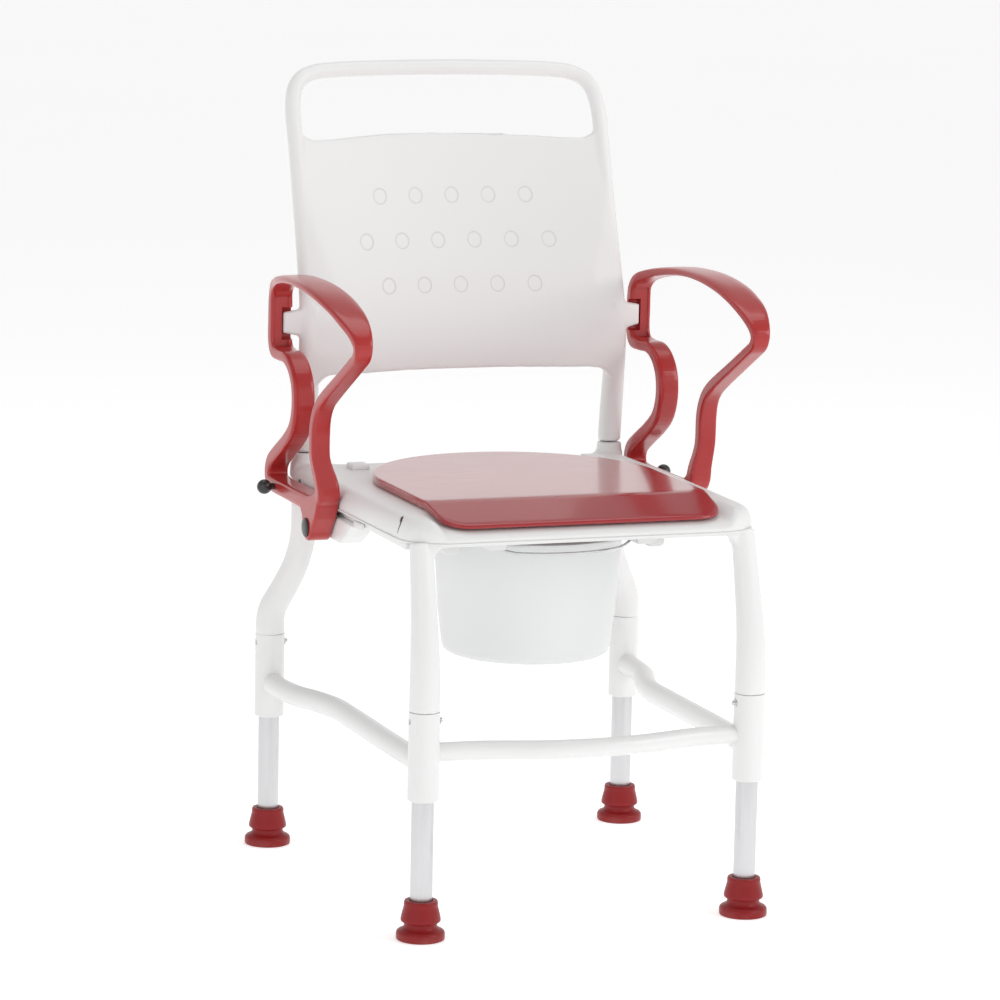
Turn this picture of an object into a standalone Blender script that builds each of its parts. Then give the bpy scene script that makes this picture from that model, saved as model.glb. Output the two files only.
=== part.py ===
"""Commode chair with swing-back armrests, telescoping legs, lift-off pad and slide-out bucket.

Units are metres. The origin is on the floor below the middle of the chair, +Z is up,
the chair faces -Y and its right-hand side (seen by someone facing it) is +X.
"""

from math import cos, pi, radians, sin

import bmesh
import bpy
from mathutils import Matrix, Vector

OBJECT_NAME = "commode_chair"
GAP = 0.0003
WELD = 0.000001
# How far the middle of the object's bounding box lies behind the middle of its legs.
BOX_CENTRE_Y = 0.06975

# Legs
FRONT_LEG = (0.2186, -0.220)
REAR_LEG = (0.2559, 0.2989)
INNER_TUBE_RADIUS = 0.014
INNER_TUBE_BOTTOM = 0.030
INNER_TUBE_TOP = 0.222
SLEEVE_RADIUS = 0.01975
SLEEVE_BORE = 0.0144
SLEEVE_BOTTOM = 0.177
SLEEVE_TOP = 0.2885
UPPER_LEG_BOTTOM = 0.2895
BORE_TOP = 0.306
LOCK_HEIGHT = 0.2775
LOCK_HOLE_RADIUS = 0.0045
LOCK_SHANK_RADIUS = 0.0028
LOCK_HEAD_RADIUS = 0.0042
LOCK_HEAD_LENGTH = 0.0045

# Rubber feet, as (radius, height) up the outside
FOOT_PROFILE = (
    (0.0285, 0.0),
    (0.0305, 0.002),
    (0.0305, 0.009),
    (0.0275, 0.0125),
    (0.0215, 0.0155),
    (0.0205, 0.021),
    (0.0250, 0.0235),
    (0.0250, 0.0270),
    (0.0222, 0.0400),
    (0.0205, 0.0500),
)
FOOT_SOCKET = 0.0143

# Seat moulding
SEAT_TOP = 0.5235
SEAT_BOTTOM = 0.495
SEAT_EDGE = 0.017
SEAT_OPENING = (0.105, 0.135)
SEAT_OPENING_Y = 0.0
POST = (0.218, 0.278)
COLLAR_TOP = 0.5352
SEAT_RAIL = (0.190, 0.2315)
SEAT_RAIL_FRONT = -0.1725
SEAT_RAIL_REAR = 0.262
SEAT_RAIL_BOTTOM = 0.484
TAB = (0.1625, 0.208)
SOCKET_RADIUS = 0.008
SOCKET_DEPTH = 0.0045
COLLAR_RADIUS = 0.0162
STUB_RADIUS = 0.0105
STUB_TOP = 0.565
WATERFALL_START = -0.125
SEAT_SLOPE = 0.165
WATERFALL_HALF_WIDTH = 0.1925

# Pad
PAD_TOP = 0.5357
PAD_RADIUS = 0.190
PAD_CENTRE_Y = 0.045
PAD_FRONT = -0.2035
PAD_CORNER = 0.022

# Backrest
LOOP_RADIUS = 0.0105
POST_RADIUS = 0.0155
PANEL_BOTTOM = 0.640
PANEL_TOP = 0.9530
PANEL_ARCH = 0.28
PANEL_HALF_WIDTH = 0.214
PANEL_THICKNESS = 0.013
PANEL_CURVE = 0.57
DIMPLE_RADIUS = 0.0094
DIMPLE_DEPTH = 0.0012
DIMPLE_PITCH = 0.0518
DIMPLE_ROWS = ((0.8715, 5), (0.8135, 6), (0.7560, 5))
EAR_ROOT = 0.215
EAR_TIP = 0.2528
EAR_HEIGHT = 0.7117

# Armrests
PIVOT = (0.101, 0.4672)
PIVOT_RADIUS = 0.0042
PIVOT_CAP_RADIUS = 0.0125
LUG_RADIUS = 0.0175
ARM_CHAMFER = 0.0045
KNOB = (0.2420, 0.4980)
KNOB_RADIUS = 0.0098
KNOB_STEM_RADIUS = 0.0030
KNOB_STEM_TIP = 0.2372
KNOB_CENTRE = 0.2845
ARM_PIN_BORE = 0.0036
SEAT_SIDE_AT_PIN = 0.2358

# Stretchers
SIDE_RAIL_RADIUS = 0.014
SIDE_RAIL_HEIGHT = 0.2225
FRONT_RAIL_RADIUS = 0.012
FRONT_RAIL_HEIGHT = 0.236

# Bucket and its rails
BUCKET_Y = 0.010
BUCKET_BOTTOM = 0.3110
RIM_RADIUS = 0.1380
RIM_TOP = 0.4730
RIM_BOTTOM = 0.4690
RAIL_WALL = 0.1455
RAIL_OUTSIDE = 0.1500
RAIL_LEDGE = 0.1285
RAIL_DEPTH = 0.0105
RAIL_FRONT = -0.090
RAIL_REAR = 0.150
BAIL_RADIUS = 0.1418
BAIL_DIP = 0.0085
# Degrees round the rim at which the wire is measured out
BAIL_STATIONS = (2, 6, 12, 20, 32, 46, 60, 74, 88, 100, 112, 125, 138, 152, 165, 174, 178)
BAIL_WIRE = 0.0019
BAIL_DIRECTION = radians(225.5)


def clear_scene():
    for obj in list(bpy.data.objects):
        bpy.data.objects.remove(obj, do_unlink=True)


def new_collection(name):
    collection = bpy.data.collections.new(name)
    bpy.context.scene.collection.children.link(collection)
    return collection


def make_material(name, colour, roughness, metallic=0.0):
    mat = bpy.data.materials.new(name)
    mat.use_nodes = True
    shader = mat.node_tree.nodes["Principled BSDF"]
    shader.inputs["Base Color"].default_value = (*colour, 1.0)
    shader.inputs["Roughness"].default_value = roughness
    shader.inputs["Metallic"].default_value = metallic
    mat.diffuse_color = (*colour, 1.0)
    return mat


def finish(bm, name, mat=None, collection=None):
    """The bmesh as an object: a part if it has a material, else a hidden cutter."""
    bmesh.ops.recalc_face_normals(bm, faces=bm.faces)
    mesh = bpy.data.meshes.new(name)
    bm.to_mesh(mesh)
    bm.free()
    obj = bpy.data.objects.new(name, mesh)
    if mat is None:
        CUTTERS.objects.link(obj)
        obj.hide_render = True
        obj.display_type = "WIRE"
    else:
        mesh.materials.append(mat)
        (collection or PARTS).objects.link(obj)
    return obj


def baked(obj, matrix):
    """The evaluated object as a bmesh, moved by the matrix. The object is used up."""
    bpy.context.scene.collection.objects.link(obj)
    graph = bpy.context.evaluated_depsgraph_get()
    graph.update()
    mesh = bpy.data.meshes.new_from_object(obj.evaluated_get(graph))
    bpy.data.objects.remove(obj, do_unlink=True)
    bm = bmesh.new()
    bm.from_mesh(mesh)
    bpy.data.meshes.remove(mesh)
    bmesh.ops.transform(bm, matrix=matrix, verts=bm.verts)
    bmesh.ops.remove_doubles(bm, verts=bm.verts, dist=WELD)
    return bm


def loft(rings, closed=False):
    """Quads through unlike sections, capped unless the run of sections closes on itself."""
    bm = bmesh.new()
    rows = [[bm.verts.new(point) for point in ring] for ring in rings]
    pairs = list(zip(rows, rows[1:]))
    if closed:
        pairs.append((rows[-1], rows[0]))
    for low, high in pairs:
        for i in range(len(low)):
            j = (i + 1) % len(low)
            bm.faces.new((low[i], low[j], high[j], high[i]))
    if not closed:
        bm.faces.new(reversed(rows[0]))
        bm.faces.new(rows[-1])
    return bm


def upright(x, depths, heights):
    """The corners of a rectangle that stands across the X axis."""
    (y0, y1), (z0, z1) = depths, heights
    return [(x, y0, z0), (x, y1, z0), (x, y1, z1), (x, y0, z1)]


def rod(start, end, radius, sides=24):
    start, end = Vector(start), Vector(end)
    axis = end - start
    bm = bmesh.new()
    bmesh.ops.create_cone(
        bm,
        cap_ends=True,
        segments=sides,
        radius1=radius,
        radius2=radius,
        depth=axis.length,
        matrix=Matrix.Translation((start + end) / 2) @ facing(axis),
    )
    return bm


def facing(axis):
    """The rotation that turns +Z to the axis."""
    return Vector(axis).to_track_quat("Z", "Y").to_matrix().to_4x4()


def turned(profile, centre, axis=(0, 0, 1), sides=24):
    """The profile, as (radius, distance along the axis), screwed round the axis and closed on it."""
    points = [(0.0, profile[0][1]), *profile, (0.0, profile[-1][1])]
    mesh = bpy.data.meshes.new("profile")
    vertices = [(radius, 0.0, along) for radius, along in points]
    mesh.from_pydata(vertices, [(i, i + 1) for i in range(len(points) - 1)], [])
    obj = bpy.data.objects.new("profile", mesh)
    screw = obj.modifiers.new("screw", "SCREW")
    screw.steps = sides
    screw.render_steps = sides
    screw.use_merge_vertices = True
    screw.merge_threshold = WELD
    return baked(obj, Matrix.Translation(centre) @ facing(axis))


def smooth_path(points, steps):
    """A Catmull-Rom curve through the points, which may be of any dimension."""
    ends = [points[0], *points, points[-1]]
    path = []
    for a, b, c, d in zip(ends, ends[1:], ends[2:], ends[3:]):
        for k in range(steps):
            t = k / steps
            path.append(
                [
                    0.5
                    * (
                        2 * q
                        + (r - p) * t
                        + (2 * p - 5 * q + 4 * r - s) * t * t
                        + (3 * q - p - 3 * r + s) * t * t * t
                    )
                    for p, q, r, s in zip(a, b, c, d)
                ]
            )
    path.append(list(points[-1]))
    return path


def pipe(path, resolution):
    """A tube through (x, y, z, radius) stations, with 4 + 2 * resolution sides."""
    curve = bpy.data.curves.new("pipe", "CURVE")
    curve.dimensions = "3D"
    curve.bevel_depth = 1.0
    curve.bevel_resolution = resolution
    curve.use_fill_caps = True
    spline = curve.splines.new("POLY")
    spline.points.add(len(path) - 1)
    for point, (x, y, z, radius) in zip(spline.points, path):
        point.co = (x, y, z, 1.0)
        point.radius = radius
    return baked(bpy.data.objects.new("pipe", curve), Matrix())


def box(low, high):
    bm = bmesh.new()
    bmesh.ops.create_cube(bm, size=1.0)
    size = Vector(high) - Vector(low)
    middle = (Vector(high) + Vector(low)) / 2
    bmesh.ops.transform(bm, matrix=Matrix.Translation(middle) @ Matrix.Diagonal((*size, 1)), verts=bm.verts)
    return bm


def prism(outline, low, high, axis="Z"):
    """The outline extruded from low to high along an axis.

    Its points are (x, y) for the Z axis, (y, z) for the X axis and (x, z) for the Y axis.
    """
    curve = bpy.data.curves.new("outline", "CURVE")
    curve.dimensions = "2D"
    curve.fill_mode = "BOTH"
    curve.extrude = (high - low) / 2
    spline = curve.splines.new("POLY")
    spline.points.add(len(outline) - 1)
    spline.use_cyclic_u = True
    for point, (a, b) in zip(spline.points, outline):
        point.co = (a, b, 0.0, 1.0)
    turn = {
        "Z": Matrix(),
        "X": Matrix(((0, 0, 1, 0), (1, 0, 0, 0), (0, 1, 0, 0), (0, 0, 0, 1))),
        "Y": Matrix(((1, 0, 0, 0), (0, 0, -1, 0), (0, 1, 0, 0), (0, 0, 0, 1))),
    }[axis]
    middle = turn @ Vector((0, 0, (low + high) / 2))
    if axis == "Y":
        middle = -middle
    bm = baked(bpy.data.objects.new("outline", curve), Matrix.Translation(middle) @ turn)
    bmesh.ops.dissolve_limit(bm, angle_limit=radians(0.5), verts=bm.verts, edges=bm.edges)
    return bm


def bevel(bm, edges, width, segments):
    bmesh.ops.bevel(
        bm,
        geom=edges,
        offset=width,
        segments=segments,
        profile=0.5,
        affect="EDGES",
        material=-1,
        clamp_overlap=True,
    )


def rounded_outline(corners):
    """A polygon of (x, y, corner radius) with every corner turned into an arc."""
    points = []
    count = len(corners)
    for i, (x, y, radius) in enumerate(corners):
        here = Vector((x, y))
        back = (Vector(corners[i - 1][:2]) - here).normalized()
        ahead = (Vector(corners[(i + 1) % count][:2]) - here).normalized()
        if radius <= 0:
            points.append((x, y))
            continue
        half = back.angle(ahead) / 2
        start = here + back * (radius * cos(half) / sin(half))
        end = here + ahead * (radius * cos(half) / sin(half))
        centre = here + (back + ahead).normalized() * (radius / sin(half))
        steps = max(2, round((pi - 2 * half) / radians(18)))
        for k in range(steps + 1):
            arm = (start - centre).lerp(end - centre, k / steps)
            points.append(tuple(centre + arm.normalized() * radius))
    return points


def boolean(obj, cutter, operation="DIFFERENCE"):
    """Applies the Boolean at once, so that each part is a plain mesh."""
    modifier = obj.modifiers.new(operation.lower(), "BOOLEAN")
    modifier.operation = operation
    modifier.solver = "EXACT"
    modifier.object = cutter
    graph = bpy.context.evaluated_depsgraph_get()
    graph.update()
    mesh = bpy.data.meshes.new_from_object(obj.evaluated_get(graph))
    old = obj.data
    obj.modifiers.remove(modifier)
    obj.data = mesh
    bpy.data.meshes.remove(old)
    tidy = bmesh.new()
    tidy.from_mesh(mesh)
    bmesh.ops.remove_doubles(tidy, verts=tidy.verts, dist=0.000002)
    bmesh.ops.dissolve_degenerate(tidy, edges=tidy.edges, dist=0.000002)
    tidy.to_mesh(mesh)
    tidy.free()


def cut(obj, bm):
    boolean(obj, finish(bm, "cutter"))


def add(obj, bm):
    boolean(obj, finish(bm, "addition"), "UNION")


def named(side, stem):
    return f"{stem}_{'right' if side > 0 else 'left'}"


# ---------------------------------------------------------------- legs


def leg_axes():
    for side in (-1, 1):
        yield side, "front", (side * FRONT_LEG[0], FRONT_LEG[1])
        yield side, "rear", (side * REAR_LEG[0], REAR_LEG[1])


def build_leg_ends():
    for side, end, (x, y) in leg_axes():
        label = named(side, end)
        sleeve = finish(
            rod((x, y, SLEEVE_BOTTOM), (x, y, SLEEVE_TOP), SLEEVE_RADIUS),
            f"leg_sleeve_{label}",
            WHITE,
        )
        cut(sleeve, rod((x, y, SLEEVE_BOTTOM - 0.01), (x, y, SLEEVE_TOP + 0.01), SLEEVE_BORE))
        outer = (x + side * 0.030, y, LOCK_HEIGHT)
        cut(sleeve, rod((x + side * 0.008, y, LOCK_HEIGHT), outer, LOCK_HOLE_RADIUS, 16))
        inner = (x - side * 0.030, y, LOCK_HEIGHT)
        cut(sleeve, rod((x - side * 0.008, y, LOCK_HEIGHT), inner, LOCK_SHANK_RADIUS + GAP, 16))

        face = x - side * (SLEEVE_RADIUS + GAP)
        tip = -(SLEEVE_RADIUS - SLEEVE_BORE - 0.0003)
        screw = turned(
            (
                (LOCK_SHANK_RADIUS, tip),
                (LOCK_SHANK_RADIUS, 0.0),
                (LOCK_HEAD_RADIUS, 0.0),
                (LOCK_HEAD_RADIUS, LOCK_HEAD_LENGTH),
            ),
            (face, y, LOCK_HEIGHT),
            (-side, 0, 0),
            14,
        )
        finish(screw, f"leg_lock_{label}", STEEL)

        tube = rod((x, y, INNER_TUBE_BOTTOM), (x, y, INNER_TUBE_TOP), INNER_TUBE_RADIUS)
        finish(tube, f"inner_tube_{label}", ALUMINIUM)

        foot = finish(turned(FOOT_PROFILE, (x, y, 0)), f"foot_{label}", RUBBER)
        socket_floor = INNER_TUBE_BOTTOM - GAP
        cut(foot, rod((x, y, socket_floor), (x, y, 0.06), FOOT_SOCKET))


def build_front_frame():
    """The two upper front legs and the apron under the seat, in one moulding."""
    frame = None
    for side in (-1, 1):
        x = side * FRONT_LEG[0]
        y = FRONT_LEG[1]
        stations = (
            (x, y, UPPER_LEG_BOTTOM, 0.0195),
            (x, y, 0.325, 0.0192),
            (x, y + 0.003, 0.360, 0.0182),
            (x - side * 0.001, y + 0.012, 0.410, 0.0165),
            (x - side * 0.002, y + 0.024, 0.460, 0.0152),
            (x - side * 0.003, y + 0.032, 0.488, 0.0148),
            (x - side * 0.003, y + 0.032, SEAT_BOTTOM - GAP, 0.0148),
        )
        leg = pipe(stations, 8)
        if frame is None:
            frame = finish(leg, "front_frame", WHITE)
        else:
            add(frame, leg)
    fillet = 0.014
    inner = FRONT_LEG[0] - 0.0175
    top = SEAT_BOTTOM - GAP
    apron_low = 0.4875
    arc = [radians(90 * k / 5) for k in range(6)]
    right = [(inner - fillet + fillet * sin(a), apron_low - fillet + fillet * cos(a)) for a in arc]
    edge = inner + 0.012
    outline = [(-edge, top), (-edge, apron_low - fillet)]
    outline += [(-a, b) for a, b in reversed(right)]
    outline += right + [(edge, apron_low - fillet), (edge, top)]
    add(frame, prism(outline, -0.2005, -0.1775, "Y"))
    for side in (-1, 1):
        x, y = side * FRONT_LEG[0], FRONT_LEG[1]
        cut(frame, rod((x, y, UPPER_LEG_BOTTOM - 0.01), (x, y, BORE_TOP), SLEEVE_BORE))


def build_seat_rails():
    """The beams under the sides of the seat, from the front legs to the rear ones."""
    for side in (-1, 1):
        low, high = sorted((side * SEAT_RAIL[0], side * SEAT_RAIL[1]))
        bm = box((low, SEAT_RAIL_FRONT, SEAT_RAIL_BOTTOM), (high, SEAT_RAIL_REAR, SEAT_BOTTOM - GAP))
        rail = finish(bm, named(side, "seat_rail"), WHITE)
        x, y = side * POST[0], POST[1]
        cut(rail, rod((x, y, 0.47), (x, y, 0.51), 0.0178))


def build_rear_legs():
    for side in (-1, 1):
        x, y = side * REAR_LEG[0], REAR_LEG[1]
        px, py = side * POST[0], POST[1]
        seat = SEAT_BOTTOM - GAP
        bend = smooth_path(
            (
                (x, y, 0.3075, 0.0188),
                (x - side * 0.004, y - 0.0025, 0.325, 0.0182),
                (x - side * 0.0175, y - 0.010, 0.355, 0.0175),
                (px + side * 0.0075, py + 0.0035, 0.390, 0.0170),
                (px, py, 0.430, 0.0168),
            ),
            3,
        )
        stations = [(x, y, UPPER_LEG_BOTTOM, 0.0190), *bend, (px, py, seat, 0.0168)]
        leg = finish(pipe(stations, 8), named(side, "rear_leg"), WHITE)
        add(leg, rod((px, py, seat - 0.005), (px, py, STUB_TOP), STUB_RADIUS, 20))
        cut(leg, rod((x, y, UPPER_LEG_BOTTOM - 0.01), (x, y, BORE_TOP), SLEEVE_BORE))


def build_stretchers():
    for side in (-1, 1):
        fx, fy = side * FRONT_LEG[0], FRONT_LEG[1]
        rx, ry = side * REAR_LEG[0], REAR_LEG[1]
        z = SIDE_RAIL_HEIGHT
        sway = smooth_path(
            (
                (side * 0.2205, 0.085, z, SIDE_RAIL_RADIUS),
                (side * 0.2222, 0.120, z, SIDE_RAIL_RADIUS),
                (side * 0.2330, 0.162, z, SIDE_RAIL_RADIUS),
                (side * 0.2480, 0.200, z, SIDE_RAIL_RADIUS),
                (side * 0.2545, 0.240, z, SIDE_RAIL_RADIUS),
            ),
            3,
        )
        path = [(fx, fy, z, SIDE_RAIL_RADIUS), *sway, (rx, ry, z, SIDE_RAIL_RADIUS)]
        rail = finish(pipe(path, 6), named(side, "side_rail"), WHITE)
        for cx, cy in ((fx, fy), (rx, ry)):
            cut(rail, rod((cx, cy, z - 0.03), (cx, cy, z + 0.03), SLEEVE_RADIUS + GAP))

    half = (
        (-FRONT_LEG[0], -0.216),
        (-0.150, -0.219),
        (-0.110, -0.2275),
        (-0.064, -0.2385),
        (-0.020, -0.2430),
    )
    line = list(half) + [(-x, y) for x, y in reversed(half)]
    stations = [(x, y, FRONT_RAIL_HEIGHT, FRONT_RAIL_RADIUS) for x, y in line]
    rail = finish(pipe(smooth_path(stations, 2), 6), "front_rail", WHITE)
    for side in (-1, 1):
        x, y = side * FRONT_LEG[0], FRONT_LEG[1]
        cut(rail, rod((x, y, 0.20), (x, y, 0.27), SLEEVE_RADIUS + GAP))
        # The side rail leaves the same leg a little lower down.
        start = (side * 0.2205, -0.25, SIDE_RAIL_HEIGHT)
        end = (side * 0.2205, -0.10, SIDE_RAIL_HEIGHT)
        cut(rail, rod(start, end, SIDE_RAIL_RADIUS + GAP))


# ---------------------------------------------------------------- seat


def seat_outline():
    half = [
        (0.0, -0.2125, 0.0),
        (0.2360, -0.2125, 0.060),
        (0.2405, 0.060, 0.25),
        (0.2345, 0.2960, 0.022),
        (0.190, 0.2960, 0.020),
        (0.176, 0.262, 0.020),
        (0.0, 0.262, 0.0),
    ]
    left = [(-x, y, r) for x, y, r in reversed(half[1:-1])]
    return rounded_outline(half + left)


def build_seat():
    bm = prism(seat_outline(), SEAT_BOTTOM, SEAT_TOP)
    top = [e for e in bm.edges if all(v.co.z > SEAT_TOP - 1e-6 for v in e.verts)]
    bevel(bm, top, SEAT_EDGE, 4)
    seat = finish(bm, "seat", WHITE)
    for side in (-1, 1):
        x, y = side * POST[0], POST[1]
        collar = turned(
            (
                (0.0172, SEAT_TOP - 0.022),
                (0.0172, SEAT_TOP - 0.002),
                (COLLAR_RADIUS, SEAT_TOP + 0.003),
                (COLLAR_RADIUS, COLLAR_TOP),
            ),
            (x, y, 0),
        )
        add(seat, collar)
    front = -0.26
    drop = SEAT_SLOPE * (WATERFALL_START - front)
    wedge = [
        (WATERFALL_START, SEAT_TOP),
        (front, SEAT_TOP - drop),
        (front, SEAT_TOP + 0.03),
        (WATERFALL_START, SEAT_TOP + 0.03),
    ]
    cut(seat, prism(wedge, -WATERFALL_HALF_WIDTH, WATERFALL_HALF_WIDTH, "X"))
    a, b = SEAT_OPENING
    ring = [(a * cos(2 * pi * k / 32), SEAT_OPENING_Y + b * sin(2 * pi * k / 32)) for k in range(32)]
    cut(seat, prism(ring, SEAT_BOTTOM - 0.01, SEAT_TOP + 0.01))
    for side in (-1, 1):
        x, y = side * POST[0], POST[1]
        cut(seat, rod((x, y, 0.48), (x, y, 0.55), STUB_RADIUS + GAP, 20))
        start = (side * (SEAT_SIDE_AT_PIN - SOCKET_DEPTH), *KNOB)
        cut(seat, rod(start, (side * 0.26, *KNOB), SOCKET_RADIUS + GAP, 16))
    return seat


def pad_outline(inset):
    """A round back, straight sides and a straight front with rounded corners."""
    radius = PAD_RADIUS - inset
    arc = [radians(180 * k / 20) for k in range(21)]
    points = [(radius * cos(a), PAD_CENTRE_Y + radius * sin(a)) for a in arc]
    front = PAD_FRONT + inset
    corner = PAD_CORNER - inset / 2
    waist = radius - 0.004
    turn = [radians(180 + 90 * k / 5) for k in range(6)]
    left = [(-waist + corner + corner * cos(a), front + corner + corner * sin(a)) for a in turn]
    flank = [(-radius, WATERFALL_START)] + left
    return points + flank + [(-x, y) for x, y in reversed(flank)]


def build_pad():
    def surface(y, height, slope):
        return height - slope * max(0.0, WATERFALL_START - y)

    layers = (
        (0.003, SEAT_TOP + GAP, SEAT_SLOPE),
        (0.0, SEAT_TOP + 0.004, SEAT_SLOPE),
        (0.0, PAD_TOP - 0.004, 0.235),
        (0.004, PAD_TOP, 0.235),
    )
    rings = []
    for inset, height, slope in layers:
        rings.append([(x, y, surface(y, height, slope)) for x, y in pad_outline(inset)])
    bm = bmesh.new()
    rows = [[bm.verts.new(point) for point in ring] for ring in rings]
    for low, high in zip(rows, rows[1:]):
        for i in range(len(low)):
            j = (i + 1) % len(low)
            bm.faces.new((low[i], low[j], high[j], high[i]))
    # The flat and the sloping halves of each face meet along the start of the waterfall.
    arc_end = 21
    for row, flip in ((rows[0], True), (rows[-1], False)):
        flat = row[: arc_end + 1] + [row[-1]]
        slope = row[arc_end:]
        for face in (flat, slope):
            bm.faces.new(list(reversed(face)) if flip else face)
    finish(bm, "seat_pad", UPHOLSTERY)


def build_seat_details():
    for side in (-1, 1):
        x, y = side * TAB[0], TAB[1]
        bm = box((x - 0.0125, y - 0.013, SEAT_TOP + GAP), (x + 0.0125, y + 0.013, SEAT_TOP + 0.0042))
        bevel(bm, [e for e in bm.edges if all(v.co.z > SEAT_TOP + 0.004 for v in e.verts)], 0.0012, 2)
        finish(bm, named(side, "seat_tab"), WHITE)

        deep = (side * (SEAT_SIDE_AT_PIN - SOCKET_DEPTH + GAP), *KNOB)
        flush = (side * SEAT_SIDE_AT_PIN, *KNOB)
        socket = finish(rod(deep, flush, SOCKET_RADIUS, 16), named(side, "pin_socket"), BLACK)
        cut(socket, rod((side * 0.2335, *KNOB), (side * 0.26, *KNOB), ARM_PIN_BORE, 12))


# ---------------------------------------------------------------- backrest


# (height, depth) down the middle of the panel's front
PANEL_PROFILE = (
    (0.6000, 0.2700),
    (0.6400, 0.2610),
    (0.6900, 0.2640),
    (0.7560, 0.2818),
    (0.8715, 0.3267),
    (0.9600, 0.3620),
)


def panel_depth(x, z):
    """Y of the front of the panel: it leans back, bulges at the small of the back and is concave."""
    for (z0, y0), (z1, y1) in zip(PANEL_PROFILE, PANEL_PROFILE[1:]):
        if z <= z1:
            break
    middle = y0 + (y1 - y0) * (z - z0) / (z1 - z0)
    return middle - PANEL_CURVE * x * x


def build_backrest():
    columns = 12
    heights = [PANEL_BOTTOM, 0.665, 0.690, 0.722, 0.756, 0.8135, 0.8715, 0.910, PANEL_TOP]
    rings = []
    for z in heights:
        arch = PANEL_ARCH if z == PANEL_TOP else 0.0
        xs = [-PANEL_HALF_WIDTH + 2 * PANEL_HALF_WIDTH * k / columns for k in range(columns + 1)]
        edge = [(x, z - arch * x * x) for x in xs]
        front = [(x, panel_depth(x, z), level) for x, level in edge]
        back = [(x, panel_depth(x, z) + PANEL_THICKNESS, level) for x, level in reversed(edge)]
        rings.append(front + back)
    back = finish(loft(rings), "backrest", WHITE)

    half = (
        (0.218, 0.278, COLLAR_TOP + 0.0008, POST_RADIUS),
        (0.218, 0.278, 0.5430, POST_RADIUS),
        (0.218, 0.2755, 0.570, POST_RADIUS),
        (0.218, 0.2690, 0.620, 0.0150),
        (0.218, 0.2640, 0.670, 0.0140),
        (0.218, 0.2645, 0.7117, 0.0130),
        (0.218, 0.2790, 0.7700, 0.0118),
        (0.218, 0.3060, 0.860, LOOP_RADIUS),
        (0.218, 0.3290, 0.930, LOOP_RADIUS),
        (0.2175, 0.3500, 0.985, LOOP_RADIUS),
        (0.2080, 0.3640, 1.0145, LOOP_RADIUS),
        (0.1850, 0.3745, 1.0310, LOOP_RADIUS),
        (0.1500, 0.3800, 1.0360, LOOP_RADIUS),
        (0.0750, 0.3835, 1.0380, LOOP_RADIUS),
    )
    line = list(half) + [(0.0, 0.3845, 1.0385, LOOP_RADIUS)]
    line += [(-x, y, z, r) for x, y, z, r in reversed(half)]
    add(back, pipe(line, 6))
    for side in (-1, 1):
        low, high = EAR_HEIGHT - 0.0145, EAR_HEIGHT + 0.0143
        root = upright(side * EAR_ROOT, (0.2560, 0.2750), (low - 0.004, high + 0.004))
        tip = upright(side * EAR_TIP, (0.2665, 0.2743), (low, high))
        add(back, loft([root, tip]))
        x, y = side * POST[0], POST[1]
        cut(back, rod((x, y, 0.52), (x, y, STUB_TOP + 0.001), STUB_RADIUS + GAP, 20))
    for z, count in DIMPLE_ROWS:
        for k in range(count):
            x = (k - (count - 1) / 2) * DIMPLE_PITCH
            y = panel_depth(x, z)
            normal = Vector((2 * PANEL_CURVE * x, 1, -0.39)).normalized()
            centre = Vector((x, y, z))
            cut(back, rod(centre - 0.006 * normal, centre + DIMPLE_DEPTH * normal, DIMPLE_RADIUS, 12))


# ---------------------------------------------------------------- armrests

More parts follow.
